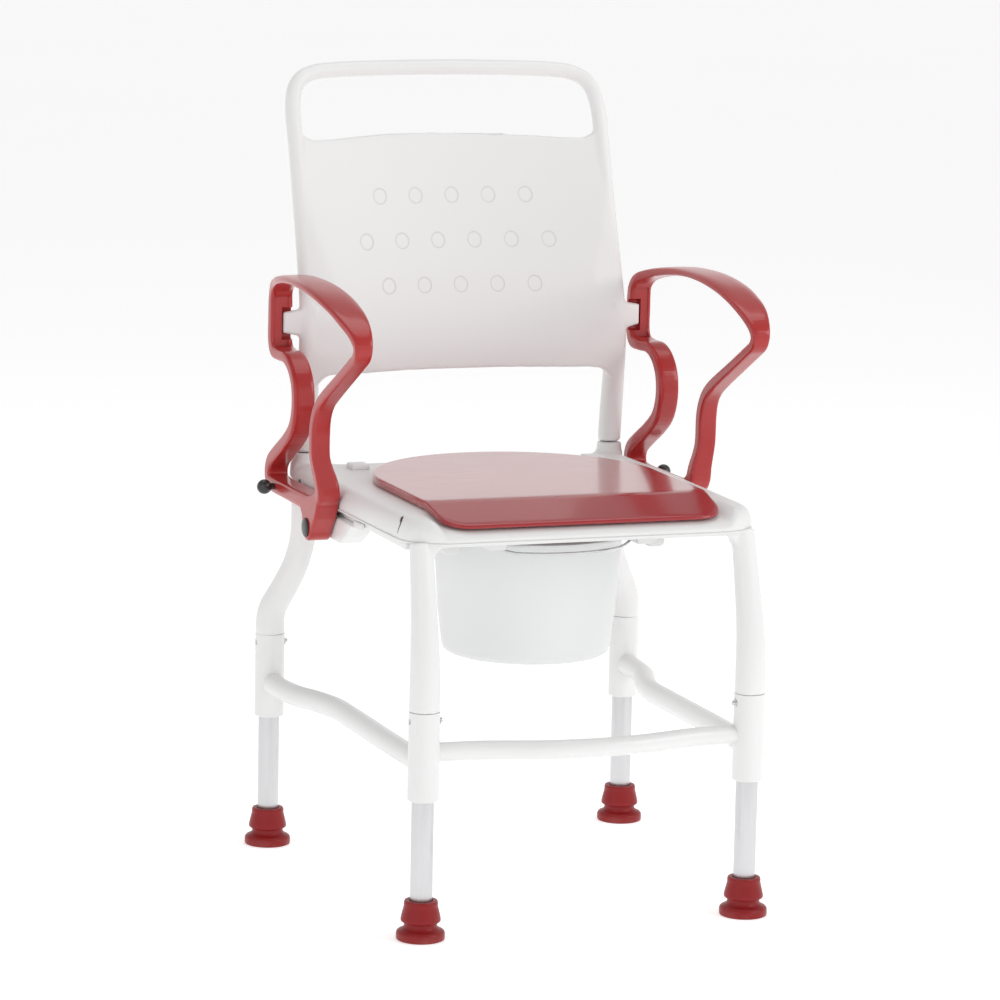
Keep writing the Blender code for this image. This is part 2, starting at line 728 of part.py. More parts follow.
# Stations round the closed loop of an armrest: y, z, middle x, width along X, thickness.
ARM_LOOP = (
    (0.2757, 0.690, 0.2550, 0.0300, 0.0185),
    (0.2757, 0.715, 0.2550, 0.0300, 0.0185),
    (0.2755, 0.735, 0.2550, 0.0300, 0.0180),
    (0.2730, 0.750, 0.2555, 0.0300, 0.0155),
    (0.2620, 0.7615, 0.2575, 0.0315, 0.0130),
    (0.2400, 0.7690, 0.2605, 0.0340, 0.0120),
    (0.2000, 0.7770, 0.2660, 0.0390, 0.0120),
    (0.1500, 0.7830, 0.2705, 0.0430, 0.0120),
    (0.1000, 0.7848, 0.2728, 0.0460, 0.0120),
    (0.0500, 0.7828, 0.2732, 0.0480, 0.0120),
    (0.0000, 0.7765, 0.2728, 0.0480, 0.0120),
    (-0.0400, 0.7675, 0.2715, 0.0450, 0.0120),
    (-0.0710, 0.7570, 0.2705, 0.0390, 0.0120),
    (-0.0950, 0.7440, 0.2690, 0.0300, 0.0125),
    (-0.1055, 0.7300, 0.2682, 0.0240, 0.0135),
    (-0.1010, 0.7165, 0.2677, 0.0225, 0.0140),
    (-0.0830, 0.7055, 0.2672, 0.0225, 0.0140),
    (-0.0400, 0.6825, 0.2672, 0.0225, 0.0140),
    (0.0150, 0.6535, 0.2672, 0.0235, 0.0145),
    (0.0410, 0.6375, 0.2675, 0.0235, 0.0150),
    (0.0550, 0.6210, 0.2678, 0.0240, 0.0160),
    (0.0615, 0.6000, 0.2680, 0.0250, 0.0170),
    (0.0620, 0.5700, 0.2678, 0.0250, 0.0170),
    (0.0610, 0.5550, 0.2655, 0.0260, 0.0175),
    (0.0590, 0.5350, 0.2600, 0.0290, 0.0190),
    (0.0600, 0.5150, 0.2570, 0.0300, 0.0220),
    (0.0900, 0.4990, 0.2570, 0.0300, 0.0240),
    (0.1300, 0.4975, 0.2570, 0.0295, 0.0210),
    (0.2000, 0.4975, 0.2570, 0.0285, 0.0200),
    (0.2500, 0.4975, 0.2570, 0.0285, 0.0200),
    (0.2725, 0.5010, 0.2570, 0.0285, 0.0200),
    (0.2785, 0.5130, 0.2570, 0.0285, 0.0195),
    (0.2710, 0.5285, 0.2565, 0.0285, 0.0190),
    (0.2450, 0.5445, 0.2562, 0.0285, 0.0185),
    (0.2110, 0.5630, 0.2560, 0.0285, 0.0180),
    (0.1835, 0.5830, 0.2560, 0.0285, 0.0175),
    (0.1712, 0.6055, 0.2560, 0.0285, 0.0175),
    (0.1695, 0.6280, 0.2560, 0.0285, 0.0175),
    (0.1762, 0.6478, 0.2560, 0.0285, 0.0170),
    (0.1925, 0.6640, 0.2560, 0.0285, 0.0155),
    (0.2150, 0.6725, 0.2560, 0.0285, 0.0145),
    (0.2430, 0.6725, 0.2555, 0.0290, 0.0150),
    (0.2665, 0.6755, 0.2550, 0.0300, 0.0180),
)


def arm_rings(side):
    rings = []
    count = len(ARM_LOOP)
    for i, (y, z, x, width, thickness) in enumerate(ARM_LOOP):
        y0, z0 = ARM_LOOP[i - 1][:2]
        y1, z1 = ARM_LOOP[(i + 1) % count][:2]
        along = Vector((0, y1 - y0, z1 - z0)).normalized()
        out = Vector((0, -along.z, along.y))
        a, b = width / 2, thickness / 2
        c = min(ARM_CHAMFER, 0.6 * b)
        upper = ((a, b - c), (a - c, b), (c - a, b), (-a, b - c))
        section = upper + tuple((-u, -v) for u, v in upper)
        rings.append([Vector((side * x + u, y, z)) + v * out for u, v in section])
    return rings


def build_armrests():
    for side in (-1, 1):
        arm = finish(loft(arm_rings(side), closed=True), named(side, "armrest"), ARM_PLASTIC)
        py, pz = PIVOT
        arc = [radians(195 + 165 * k / 8) for k in range(9)]
        lug = [
            (py - 0.046, pz + 0.050),
            (py - 0.044, pz + 0.032),
            (py - 0.034, pz + 0.016),
            (py - 0.022, pz + 0.002),
            *[(py + LUG_RADIUS * cos(a), pz + LUG_RADIUS * sin(a)) for a in arc],
            (py + 0.020, pz + 0.012),
            (py + 0.034, pz + 0.026),
            (py + 0.030, pz + 0.034),
        ]
        low, high = sorted((side * 0.2415, side * 0.2718))
        add(arm, prism(lug, low, high, "X"))
        # The notch that takes the ear of the backrest is open to the front and the inside.
        bottom, top = EAR_HEIGHT - 0.0270, EAR_HEIGHT + 0.0225
        notch = [(0.2560, bottom), (0.2770, bottom), (0.2770, top), (0.2560, top)]
        low, high = sorted((side * 0.2300, side * 0.2548))
        cut(arm, prism(notch, low, high, "X"))
        cut(arm, rod((side * 0.23, py, pz), (side * 0.29, py, pz), PIVOT_RADIUS + GAP, 16))
        cut(arm, rod((side * 0.23, *KNOB), (side * 0.29, *KNOB), ARM_PIN_BORE, 12))

        head = side * (0.2718 + GAP)
        bolt = turned(
            (
                (PIVOT_RADIUS, 0.2310 - 0.2718 - GAP),
                (PIVOT_RADIUS, 0.0),
                (PIVOT_CAP_RADIUS, 0.0),
                (PIVOT_CAP_RADIUS, 0.0020),
                (PIVOT_CAP_RADIUS - 0.002, 0.0030),
            ),
            (head, py, pz),
            (side, 0, 0),
            20,
        )
        finish(bolt, named(side, "pivot_bolt"), BLACK)

        stem = [(KNOB_STEM_RADIUS, KNOB_STEM_TIP - KNOB_CENTRE)]
        for degrees in (18, 36, 54, 72, 90, 108, 126, 144, 162):
            angle = radians(degrees)
            stem.append((KNOB_RADIUS * sin(angle), -KNOB_RADIUS * cos(angle)))
        knob = turned(stem, (side * KNOB_CENTRE, *KNOB), (side, 0, 0), 18)
        finish(knob, named(side, "lock_knob"), BLACK)


def build_brackets():
    for side in (-1, 1):
        top = 0.484 - GAP
        outline = [
            (0.014, top),
            (0.014, 0.4810),
            (0.032, 0.4660),
            (0.045, 0.4570),
            (0.058, 0.4520),
            (0.150, 0.4520),
            (0.175, 0.4640),
            (0.190, top),
        ]
        low, high = sorted((side * 0.2100, side * 0.2398))
        bracket = finish(prism(outline, low, high, "X"), named(side, "arm_bracket"), WHITE)
        py, pz = PIVOT
        start = (side * 0.2305, py, pz)
        cut(bracket, rod(start, (side * 0.26, py, pz), PIVOT_RADIUS + GAP, 16))


# ---------------------------------------------------------------- bucket


def build_bucket():
    # The wall goes out and up, over the rim and back down inside to the floor.
    outside = (
        (0.0990, BUCKET_BOTTOM),
        (0.1060, BUCKET_BOTTOM + 0.003),
        (0.1095, BUCKET_BOTTOM + 0.010),
        (0.1150, BUCKET_BOTTOM + 0.055),
        (0.1205, RIM_BOTTOM - 0.024),
        (0.1220, RIM_BOTTOM),
        (RIM_RADIUS, RIM_BOTTOM),
        (RIM_RADIUS, RIM_TOP),
    )
    inside = (
        (0.1195, RIM_TOP),
        (0.1178, RIM_BOTTOM - 0.024),
        (0.1122, BUCKET_BOTTOM + 0.055),
        (0.1065, BUCKET_BOTTOM + 0.011),
        (0.0990, BUCKET_BOTTOM + 0.003),
    )
    bucket = finish(turned(outside + inside, (0, BUCKET_Y, 0), sides=32), "bucket", WHITE_BUCKET)
    height = (RIM_TOP + RIM_BOTTOM) / 2
    pivot = Vector((0, BUCKET_Y, height))
    first = Vector((cos(BAIL_DIRECTION), sin(BAIL_DIRECTION), 0))
    second = Vector((-first.y, first.x, 0))
    for along in (first, -first):
        # A small lug under the rim carries each end of the bail.
        lug = rod(pivot + along * 0.128, pivot + along * (RIM_RADIUS + 0.0015), 0.0048, 12)
        add(bucket, lug)
        cut(bucket, rod(pivot + along * 0.1345, pivot + along * 0.145, BAIL_WIRE + GAP, 10))

    inner = 0.1352
    points = [first * inner, first * (BAIL_RADIUS - 0.0012)]
    for degrees in BAIL_STATIONS:
        a = radians(degrees)
        rise = min(1.0, degrees / 20) * min(1.0, max(0.0, (102 - degrees) / 24))
        dip = Vector((0, 0, -BAIL_DIP * rise))
        points.append(BAIL_RADIUS * (first * cos(a) + second * sin(a)) + dip)
    points += [-first * (BAIL_RADIUS - 0.0012), -first * inner]
    path = [(*(pivot + p), BAIL_WIRE) for p in points]
    finish(pipe(path, 2), "bucket_bail", STEEL)


def build_bucket_rails():
    for side in (-1, 1):
        low = RIM_BOTTOM - RAIL_DEPTH
        shelf = RIM_BOTTOM - GAP
        top = SEAT_BOTTOM - GAP
        corner = 0.004
        outline = [
            (RAIL_LEDGE, low),
            (RAIL_OUTSIDE - corner, low),
            (RAIL_OUTSIDE - corner / 4, low + corner / 4),
            (RAIL_OUTSIDE, low + corner),
            (RAIL_OUTSIDE, top),
            (RAIL_WALL, top),
            (RAIL_WALL, shelf),
            (RAIL_LEDGE, shelf),
        ]
        points = [(side * a, b) for a, b in outline]
        finish(prism(points, RAIL_FRONT, RAIL_REAR, "Y"), named(side, "bucket_rail"), WHITE)


def move_origin(name, point):
    """Puts a moving piece's origin on its joint."""
    obj = bpy.data.objects[name]
    obj.data.transform(Matrix.Translation(-Vector(point)))
    obj.location = point


def set_origins():
    for side, end, (x, y) in leg_axes():
        for stem in ("inner_tube", "foot"):
            move_origin(f"{stem}_{named(side, end)}", (x, y, 0))
    for side in (-1, 1):
        move_origin(named(side, "armrest"), (side * 0.257, *PIVOT))
        move_origin(named(side, "lock_knob"), (side * KNOB_CENTRE, *KNOB))
        bpy.data.objects[named(side, "lock_knob")].parent = bpy.data.objects[named(side, "armrest")]
        inverse = Matrix.Translation((-side * 0.257, -PIVOT[0], -PIVOT[1]))
        bpy.data.objects[named(side, "lock_knob")].matrix_parent_inverse = inverse
    move_origin("seat_pad", (0, PAD_CENTRE_Y, SEAT_TOP))
    move_origin("bucket", (0, BUCKET_Y, RIM_BOTTOM))
    move_origin("bucket_bail", (0, BUCKET_Y, (RIM_TOP + RIM_BOTTOM) / 2))


def stand_on_box_centre():
    """Hangs every part on an empty, so that the origin is under the middle of the bounding box."""
    empty = bpy.data.objects.new("chair_frame", None)
    PARTS.objects.link(empty)
    empty.location = (0, -BOX_CENTRE_Y, 0)
    for obj in PARTS.objects:
        if obj is not empty and obj.parent is None:
            obj.parent = empty


def shade_round_pieces():
    for obj in PARTS.objects:
        if obj.type == "MESH":
            obj.data.shade_smooth()
            obj.data.set_sharp_from_angle(angle=radians(35))


clear_scene()
PARTS = new_collection(OBJECT_NAME)
CUTTERS = new_collection("cutters")
CUTTERS.hide_render = True
WHITE = make_material("white_plastic", (0.80, 0.80, 0.79), 0.38)
WHITE_BUCKET = make_material("bucket_plastic", (0.76, 0.77, 0.77), 0.32)
ARM_PLASTIC = make_material("red_plastic", (0.42, 0.045, 0.045), 0.34)
UPHOLSTERY = make_material("red_upholstery", (0.42, 0.04, 0.045), 0.45)
RUBBER = make_material("red_rubber", (0.40, 0.045, 0.045), 0.62)
BLACK = make_material("black_plastic", (0.02, 0.02, 0.02), 0.35)
ALUMINIUM = make_material("aluminium", (0.77, 0.77, 0.78), 0.28, 1.0)
STEEL = make_material("steel", (0.62, 0.62, 0.64), 0.22, 1.0)

build_leg_ends()
build_front_frame()
build_seat_rails()
build_rear_legs()
build_stretchers()
build_seat()
build_seat_details()
build_pad()
build_backrest()
build_armrests()
build_brackets()
build_bucket()
build_bucket_rails()
set_origins()
stand_on_box_centre()
shade_round_pieces()
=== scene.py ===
"""Finishes a commode chair: smooth mouldings, coated tubes, a soft pad and studio light."""

from math import cos, pi, radians, sin

import bmesh
import bpy
from mathutils import Matrix, Vector


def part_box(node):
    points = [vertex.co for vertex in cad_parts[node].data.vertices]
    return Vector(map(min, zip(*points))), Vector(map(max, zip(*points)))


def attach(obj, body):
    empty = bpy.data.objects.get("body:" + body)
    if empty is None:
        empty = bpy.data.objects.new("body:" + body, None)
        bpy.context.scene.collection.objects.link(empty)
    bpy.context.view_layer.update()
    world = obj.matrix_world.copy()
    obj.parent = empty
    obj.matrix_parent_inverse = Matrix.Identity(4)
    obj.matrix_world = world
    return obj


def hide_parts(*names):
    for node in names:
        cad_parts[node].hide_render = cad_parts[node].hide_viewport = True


bl_info = {
    "name": "Commode Chair Finishes",
    "version": (1, 0, 0),
    "blender": (4, 5, 0),
    "location": "View3D > Sidebar > Chair",
    "description": "Builds the finished surfaces of a height-adjustable commode chair",
    "category": "Object",
}

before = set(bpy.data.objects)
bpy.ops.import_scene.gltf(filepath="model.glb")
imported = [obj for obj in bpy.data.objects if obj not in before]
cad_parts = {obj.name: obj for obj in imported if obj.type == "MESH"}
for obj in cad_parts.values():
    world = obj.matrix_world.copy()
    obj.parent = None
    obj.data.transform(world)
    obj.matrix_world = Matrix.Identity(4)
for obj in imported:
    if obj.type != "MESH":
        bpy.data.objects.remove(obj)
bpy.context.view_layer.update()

# The pieces are drawn with the middle of the four legs at the origin.
LEG_LOW, LEG_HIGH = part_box("inner_tube_front_left")
FRONT_LEG = Vector((0.2186, -0.2200, 0.0))
REAR_LEG = Vector((0.2559, 0.2989, 0.0))
TO_FRAME = Matrix.Translation((0.0, (LEG_LOW.y + LEG_HIGH.y) / 2 - FRONT_LEG.y, 0.0))

SEAT_TOP = 0.5235
SEAT_BOTTOM = 0.495
# How far in and how far down the seat's rolled edge reaches
SEAT_ROLL = (0.017, 0.0215)
# Half the opening's width and depth, and levels well above and below the seat
SEAT_OPENING = (0.105, 0.135)
THROUGH_SEAT = (0.48, 0.55)
COLLAR_TOP = 0.5365
POST = Vector((0.218, 0.278, 0.0))
# The armrest's pivot and its lock knob, as (y, z)
PIVOT = (0.101, 0.4672)
KNOB = (0.2420, 0.4980)
BUCKET_Y = 0.010
WELD = 0.000001
# Between pieces that rest on each other
GAP = 0.0003
SIDES = ((-1, "left"), (1, "right"))


# --- shader maths

# A Mix node's sockets when it mixes colours: the factor, both ends and the result
MIX_INPUTS = (0, 6, 7)
MIX_RESULT = 2
COAT_ROUGHNESS = 0.12
FINE_GRAIN = 1400.0


class Signal:
    """A node's output. Arithmetic on it adds Math nodes to its material."""

    def __init__(self, finish, socket):
        self.finish = finish
        self.socket = socket

    def math(self, operation, *others, first=None):
        values = [self, *others] if first is None else [first, self, *others]
        return self.finish.node("Math", {"operation": operation}, dict(enumerate(values)))

    def __add__(self, other):
        return self.math("ADD", other)

    def __radd__(self, other):
        return self.math("ADD", other)

    def __sub__(self, other):
        return self.math("SUBTRACT", other)

    def __rsub__(self, other):
        return self.math("SUBTRACT", first=other)

    def __mul__(self, other):
        return self.math("MULTIPLY", other)

    def __rmul__(self, other):
        return self.math("MULTIPLY", other)

    def __truediv__(self, other):
        return self.math("DIVIDE", other)

    def root(self):
        return self.math("SQRT")

    def between(self, low, high):
        """0 at low, 1 at high, held outside."""
        settings = {"interpolation_type": "SMOOTHSTEP"}
        inputs = {0: self, 1: low, 2: high, 3: 0.0, 4: 1.0}
        return self.finish.node("MapRange", settings, inputs)


class Nodes:
    """A node tree and the one method that adds nodes to it."""

    def __init__(self, owner, shader):
        owner.use_nodes = True
        self.tree = owner.node_tree
        self.shader = self.tree.nodes[shader]

    def set(self, socket, value):
        self.feed(self.shader.inputs[socket], value)

    def feed(self, socket, value):
        if isinstance(value, Signal):
            self.tree.links.new(value.socket, socket)
        else:
            socket.default_value = value

    def node(self, kind, settings=None, inputs=None, output=0):
        node = self.tree.nodes.new("ShaderNode" + kind)
        for name, value in (settings or {}).items():
            setattr(node, name, value)
        for name, value in (inputs or {}).items():
            self.feed(node.inputs[name], value)
        return Signal(self, node.outputs[output])


class Finish(Nodes):
    """A material, and the patterns that its look is mixed from."""

    def __init__(self, name, metallic=0.0, coat=0.0, specular=0.5):
        self.material = bpy.data.materials.new(name)
        super().__init__(self.material, "Principled BSDF")
        self.set("Metallic", metallic)
        self.set("Coat Weight", coat)
        self.set("Specular IOR Level", specular)
        self.set("Coat Roughness", COAT_ROUGHNESS)
        self.place = self.node("TexCoord", output="Object")

    def along(self, axis):
        return self.node("SeparateXYZ", {}, {"Vector": self.place}, axis)

    def noise(self, scale, detail=3.0, stretch=None):
        place = self.place
        if stretch:
            place = self.node("Mapping", {}, {"Vector": place, "Scale": stretch})
        return self.node("TexNoise", {}, {"Vector": place, "Scale": scale, "Detail": detail})

    def cells(self, scale):
        return self.node("TexVoronoi", {}, {"Vector": self.place, "Scale": scale})

    def blend(self, factor, low, high):
        """A mix of two colours, each given as numbers or as another mix."""
        ends = [end if isinstance(end, Signal) else (*end, 1.0) for end in (low, high)]
        inputs = dict(zip(MIX_INPUTS, (factor, *ends)))
        return self.node("Mix", {"data_type": "RGBA"}, inputs, MIX_RESULT)

    def tints(self, factor, colour, low, high):
        """A mix of two shades of one colour."""
        return self.blend(factor, shade(colour, low), shade(colour, high))

    def done(self, colour, roughness, height, strength, distance):
        """Sets all that varies, with a bump of the height pattern, and gives the material."""
        self.set("Base Color", colour)
        self.set("Roughness", roughness)
        inputs = {"Height": height, "Strength": strength, "Distance": distance}
        self.set("Normal", self.node("Bump", {}, inputs))
        return self.material


# --- materials

DIMPLE_PITCH = 0.0518
DIMPLE_RADIUS = 0.0094
# The panel leans back, so a round dimple is a little shorter when measured straight up
DIMPLE_SQUASH = 0.93
# The height of each row of dimples, and how many it holds
DIMPLE_ROWS = ((0.8715, 5), (0.8135, 6), (0.7560, 5))
WORN_RUBBER = (0.27, 0.045, 0.040)


def clamped(value):
    return min(1.0, max(0.0, value))


def eased(value):
    """0 to 1 with a slow start and end."""
    return value * value * (3 - 2 * value)


def shade(colour, amount):
    return tuple(clamped(c * amount) for c in colour[:3])


def shared(make):
    """Makes a material once, under the function's name, and gives that one from then on."""

    def get(*colour):
        name = make.__name__
        return bpy.data.materials.get(name) or make(name, *colour)

    return get


@shared
def white_powder_coat(name, colour):
    """Sprayed and baked: a soft orange peel with slightly duller patches."""
    finish = Finish(name, coat=0.25)
    clouds = finish.noise(9.0)
    tint = finish.tints(clouds, colour, 0.985, 1.01)
    return finish.done(tint, 0.28 + clouds * 0.14, finish.noise(420.0, 2.0), 0.10, 0.0004)


@shared
def white_moulding(name, colour):
    """Injection moulding: a fine spark-eroded grain with faint flow marks."""
    finish = Finish(name)
    flow = finish.noise(5.0, 2.0, (1.0, 0.35, 1.0))
    tint = finish.tints(flow, colour, 0.98, 1.01)
    relief = finish.cells(FINE_GRAIN) + flow * 0.4
    return finish.done(tint, 0.36 + flow * 0.12, relief, 0.08, 0.00025)


@shared
def red_arm_plastic(name, colour):
    """Satin arm plastic: a tight grain and soft gloss changes."""
    finish = Finish(name, coat=0.45, specular=0.25)
    clouds = finish.noise(14.0, 4.0)
    tint = finish.tints(clouds, colour, 0.93, 1.06)
    return finish.done(tint, 0.24 + clouds * 0.12, finish.cells(1700.0), 0.05, 0.0002)


@shared
def red_pad_skin(name, colour):
    """Closed-skin foam: smooth and glossy, with soft hollows and fine scuffs."""
    finish = Finish(name, coat=0.75, specular=0.25)
    hollows = finish.noise(26.0, 3.0, (0.5, 1.6, 1.0))
    scuffs = finish.noise(70.0, 5.0, (0.35, 2.4, 1.0))
    tint = finish.tints(finish.noise(6.0), colour, 0.93, 1.05)
    return finish.done(tint, 0.16 + scuffs * 0.14, hollows + scuffs * 0.3, 0.05, 0.0008)


@shared
def red_foot_rubber(name, colour):
    """Matt rubber, dulled towards the floor by handling."""
    finish = Finish(name, coat=0.10, specular=0.25)
    clouds = finish.noise(60.0, 5.0)
    worn = (1.0 - finish.along("Z").between(0.0, 0.014)) * clouds.between(0.35, 0.75)
    tint = finish.blend(worn, colour, WORN_RUBBER)
    return finish.done(tint, 0.32 + clouds * 0.18, finish.noise(900.0, 2.0), 0.12, 0.0003)


@shared
def anodised_tube(name, colour):
    """Drawn and anodised tube: long fine streaks down its length."""
    finish = Finish(name, metallic=1.0)
    streaks = finish.noise(55.0, 6.0, (22.0, 22.0, 0.35))
    tint = finish.tints(streaks, colour, 0.90, 1.05)
    roughness = 0.26 + streaks * 0.12 + finish.noise(12.0) * 0.06
    return finish.done(tint, roughness, streaks, 0.10, 0.0002)


@shared
def bright_steel(name, colour):
    """Polished wire: a mirror with fine scratches."""
    finish = Finish(name, metallic=1.0)
    streaks = finish.noise(260.0)
    tint = finish.tints(streaks, colour, 0.92, 1.06)
    return finish.done(tint, 0.14 + streaks * 0.12, streaks, 0.04, 0.0001)


@shared
def black_knob_plastic(name):
    """Satin black caps and knobs."""
    finish = Finish(name, coat=0.20)
    clouds = finish.noise(120.0, 4.0)
    tint = finish.blend(clouds, (0.012, 0.012, 0.013), (0.024, 0.024, 0.026))
    return finish.done(tint, 0.26 + clouds * 0.18, finish.cells(2200.0), 0.10, 0.0002)


@shared
def dimpled_back_panel(name, colour):
    """The back's grain, with a fine step round each of its shallow dimples; each step is a ring of
    painted shade in the colour and a dent in the bump.
    """
    finish = Finish(name)
    pits = finish.cells(FINE_GRAIN)
    flow = finish.noise(5.0, 2.0, (1.0, 0.35, 1.0))
    across, up = finish.along("X"), finish.along("Z")
    steps = []
    bowls = []
    for height, count in DIMPLE_ROWS:
        first = -(count - 1) / 2
        index = (across / DIMPLE_PITCH - first).math("ROUND").math("MINIMUM", count - 1.0)
        index = index.math("MAXIMUM", 0.0)
        sideways = across - (index + first) * DIMPLE_PITCH
        upward = (up - height) * DIMPLE_SQUASH
        distance = (sideways * sideways + upward * upward).root()
        steps.append(1.0 - (distance - DIMPLE_RADIUS).math("ABSOLUTE").between(0.0003, 0.0010))
        inside = distance.between(DIMPLE_RADIUS - 0.0018, DIMPLE_RADIUS - 0.0002)
        bowls.append(1.0 - inside)
    step = steps[0].math("MAXIMUM", steps[1]).math("MAXIMUM", steps[2])
    recess = bowls[0].math("MAXIMUM", bowls[1]).math("MAXIMUM", bowls[2])
    plain = finish.tints(flow, colour, 0.98, 1.01)
    # The ring round each dimple is mixed towards a darker shade of the colour: painted shade at the
    # dimple's step.
    tint = finish.blend(step * 0.42, plain, shade(colour, 0.60))
    relief = (1.0 - recess) * 1.2 - step * 0.5 + pits * 0.06
    return finish.done(tint, 0.36 + flow * 0.12, relief, 0.5, 0.0012)


# --- shaping tools


def smooth_run(points, steps, closed=False):
    """A Catmull-Rom curve through points of any dimension."""
    count = len(points)
    run = []
    for i in range(count if closed else count - 1):
        if closed:
            a, b, c, d = (points[(i + k) % count] for k in (-1, 0, 1, 2))
        else:
            a, b, c, d = (points[min(max(i + k, 0), count - 1)] for k in (-1, 0, 1, 2))
        for k in range(steps):
            t = k / steps
            run.append(
                [
                    q
                    + 0.5 * t * (r - p)
                    + t * t * (p - 2.5 * q + 2 * r - 0.5 * s)
                    + t * t * t * 0.5 * (3 * (q - r) + s - p)
                    for p, q, r, s in zip(a, b, c, d)
                ]
            )
    if not closed:
        run.append(list(points[-1]))
    return run


def mirror_x(points):
    """The other half of a run that ends near the middle, in order."""
    return [(-p[0], *p[1:]) for p in reversed(points)]


def used_up(obj):
    """The evaluated mesh of a helper object, which is then removed."""
    bpy.context.view_layer.update()
    graph = bpy.context.evaluated_depsgraph_get()
    mesh = bpy.data.meshes.new_from_object(obj.evaluated_get(graph))
    old = obj.data
    bpy.data.objects.remove(obj, do_unlink=True)
    if isinstance(old, bpy.types.Curve):
        bpy.data.curves.remove(old)
    else:
        bpy.data.meshes.remove(old)
    return mesh


def helper(data):
    """A short-lived object, for what only modifiers and curves can do."""
    obj = bpy.data.objects.new("helper", data)
    bpy.context.scene.collection.objects.link(obj)
    return obj


def mesh_of(bm):
    bmesh.ops.recalc_face_normals(bm, faces=bm.faces)
    mesh = bpy.data.meshes.new("shape")
    bm.to_mesh(mesh)
    bm.free()
    return mesh


def opened(mesh):
    """The mesh as a bmesh, with its seams closed."""
    bm = bmesh.new()
    bm.from_mesh(mesh)
    bpy.data.meshes.remove(mesh)
    bmesh.ops.remove_doubles(bm, verts=bm.verts, dist=WELD)
    return bm


def tube(stations, resolution=14):
    """A round tube through (x, y, z, radius) stations."""
    curve = bpy.data.curves.new("run", "CURVE")
    curve.dimensions = "3D"
    curve.bevel_depth = 1.0
    curve.bevel_resolution = resolution
    curve.use_fill_caps = True
    spline = curve.splines.new("POLY")
    spline.points.add(len(stations) - 1)
    for point, (x, y, z, radius) in zip(spline.points, stations):
        point.co = (x, y, z, 1.0)
        point.radius = radius
    return opened(used_up(helper(curve)))


def facing(axis):
    """Turns +Z to point along the axis."""
    return Vector(axis).to_track_quat("Z", "Y").to_matrix().to_4x4()


def rod(start, end, radius, sides=48):
    start, end = Vector(start), Vector(end)
    bm = bmesh.new()
    bmesh.ops.create_cone(
        bm,
        cap_ends=True,
        segments=sides,
        radius1=radius,
        radius2=radius,
        depth=(end - start).length,
        matrix=Matrix.Translation((start + end) / 2) @ facing(end - start),
    )
    return bm


def turned(profile, centre, axis=(0, 0, 1), steps=72, hollow=False):
    """Spins (radius, distance) points about the axis: solid to the axis, or a hollow ring."""
    start, end = (0.0, profile[0][1]), (0.0, profile[-1][1])
    points = [*profile, profile[0]] if hollow else [start, *profile, end]
    bm = bmesh.new()
    chain = [bm.verts.new((radius, 0.0, along)) for radius, along in points]
    edges = [bm.edges.new(pair) for pair in zip(chain, chain[1:])]
    bmesh.ops.spin(
        bm,
        geom=chain + edges,
        cent=(0, 0, 0),
        axis=(0, 0, 1),
        angle=2 * pi,
        steps=steps,
        use_merge=True,
    )
    bmesh.ops.remove_doubles(bm, verts=bm.verts, dist=WELD)
    matrix = Matrix.Translation(centre) @ facing(axis)
    bmesh.ops.transform(bm, matrix=matrix, verts=bm.verts)
    return bm


def bridged(rings, closed=False):
    """Bridges one loop of points to the next, and fills the ends of an open run."""
    bm = bmesh.new()
    loops = []
    for ring in rings:
        verts = [bm.verts.new(point) for point in ring]
        loops.append([bm.edges.new((verts[i - 1], verts[i])) for i in range(len(verts))])
    pairs = list(zip(loops, loops[1:]))
    if closed:
        pairs.append((loops[-1], loops[0]))
    for low, high in pairs:
        bmesh.ops.bridge_loops(bm, edges=low + high)
    if not closed:
        bmesh.ops.holes_fill(bm, edges=loops[0] + loops[-1])
    return bm


def slab(outline, low, high, axis="Z"):
    """The outline, extruded from low to high along an axis."""
    turn = {
        "Z": lambda a, b: (a, b, low),
        "X": lambda a, b: (low, a, b),
        "Y": lambda a, b: (a, low, b),
    }[axis]
    bm = bmesh.new()
    verts = [bm.verts.new(turn(a, b)) for a, b in outline]
    edges = [bm.edges.new((verts[i - 1], verts[i])) for i in range(len(verts))]
    bmesh.ops.contextual_create(bm, geom=edges)
    grown = bmesh.ops.extrude_face_region(bm, geom=bm.faces[:])
    moved = [v for v in grown["geom"] if isinstance(v, bmesh.types.BMVert)]
    away = {"Z": (0, 0, high - low), "X": (high - low, 0, 0), "Y": (0, high - low, 0)}[axis]
    bmesh.ops.translate(bm, vec=away, verts=moved)
    return bm


def block(low, high, round_off, segments=3):
    """A box between two corners, with rounded edges."""
    bm = bmesh.new()
    bmesh.ops.create_cube(bm, size=1.0)
    low, high = Vector(low), Vector(high)
    size = Matrix.Diagonal((*(high - low), 1.0))
    matrix = Matrix.Translation((low + high) / 2) @ size
    bmesh.ops.transform(bm, matrix=matrix, verts=bm.verts)
    if round_off:
        soften(bm, bm.edges[:], round_off, segments)
    return bm


def side_block(side, near, far, round_off, segments=3):
    """A rounded block on one side of the chair, from its corner near the middle to the far one."""
    low, high = sorted((side * near[0], side * far[0]))
    return block((low, *near[1:]), (high, *far[1:]), round_off, segments)


def side_slab(side, outline, near, far):
    """A (y, z) outline made solid on one side of the chair, between two distances from the middle."""
    low, high = sorted((side * near, side * far))
    return slab(outline, low, high, "X")


def oval(half_width, half_depth, count=64):
    turns = [2 * pi * k / count for k in range(count)]
    return [(half_width * cos(a), half_depth * sin(a)) for a in turns]


def soften(bm, edges, width, segments=3):
    bmesh.ops.bevel(
        bm,
        geom=edges,
        offset=width,
        segments=segments,
        profile=0.5,
        affect="EDGES",
        material=-1,
        clamp_overlap=True,
    )


def sharp_edges(bm, degrees=40):
    bm.normal_update()
    inner = [e for e in bm.edges if len(e.link_faces) == 2]
    return [e for e in inner if e.calc_face_angle() > radians(degrees)]


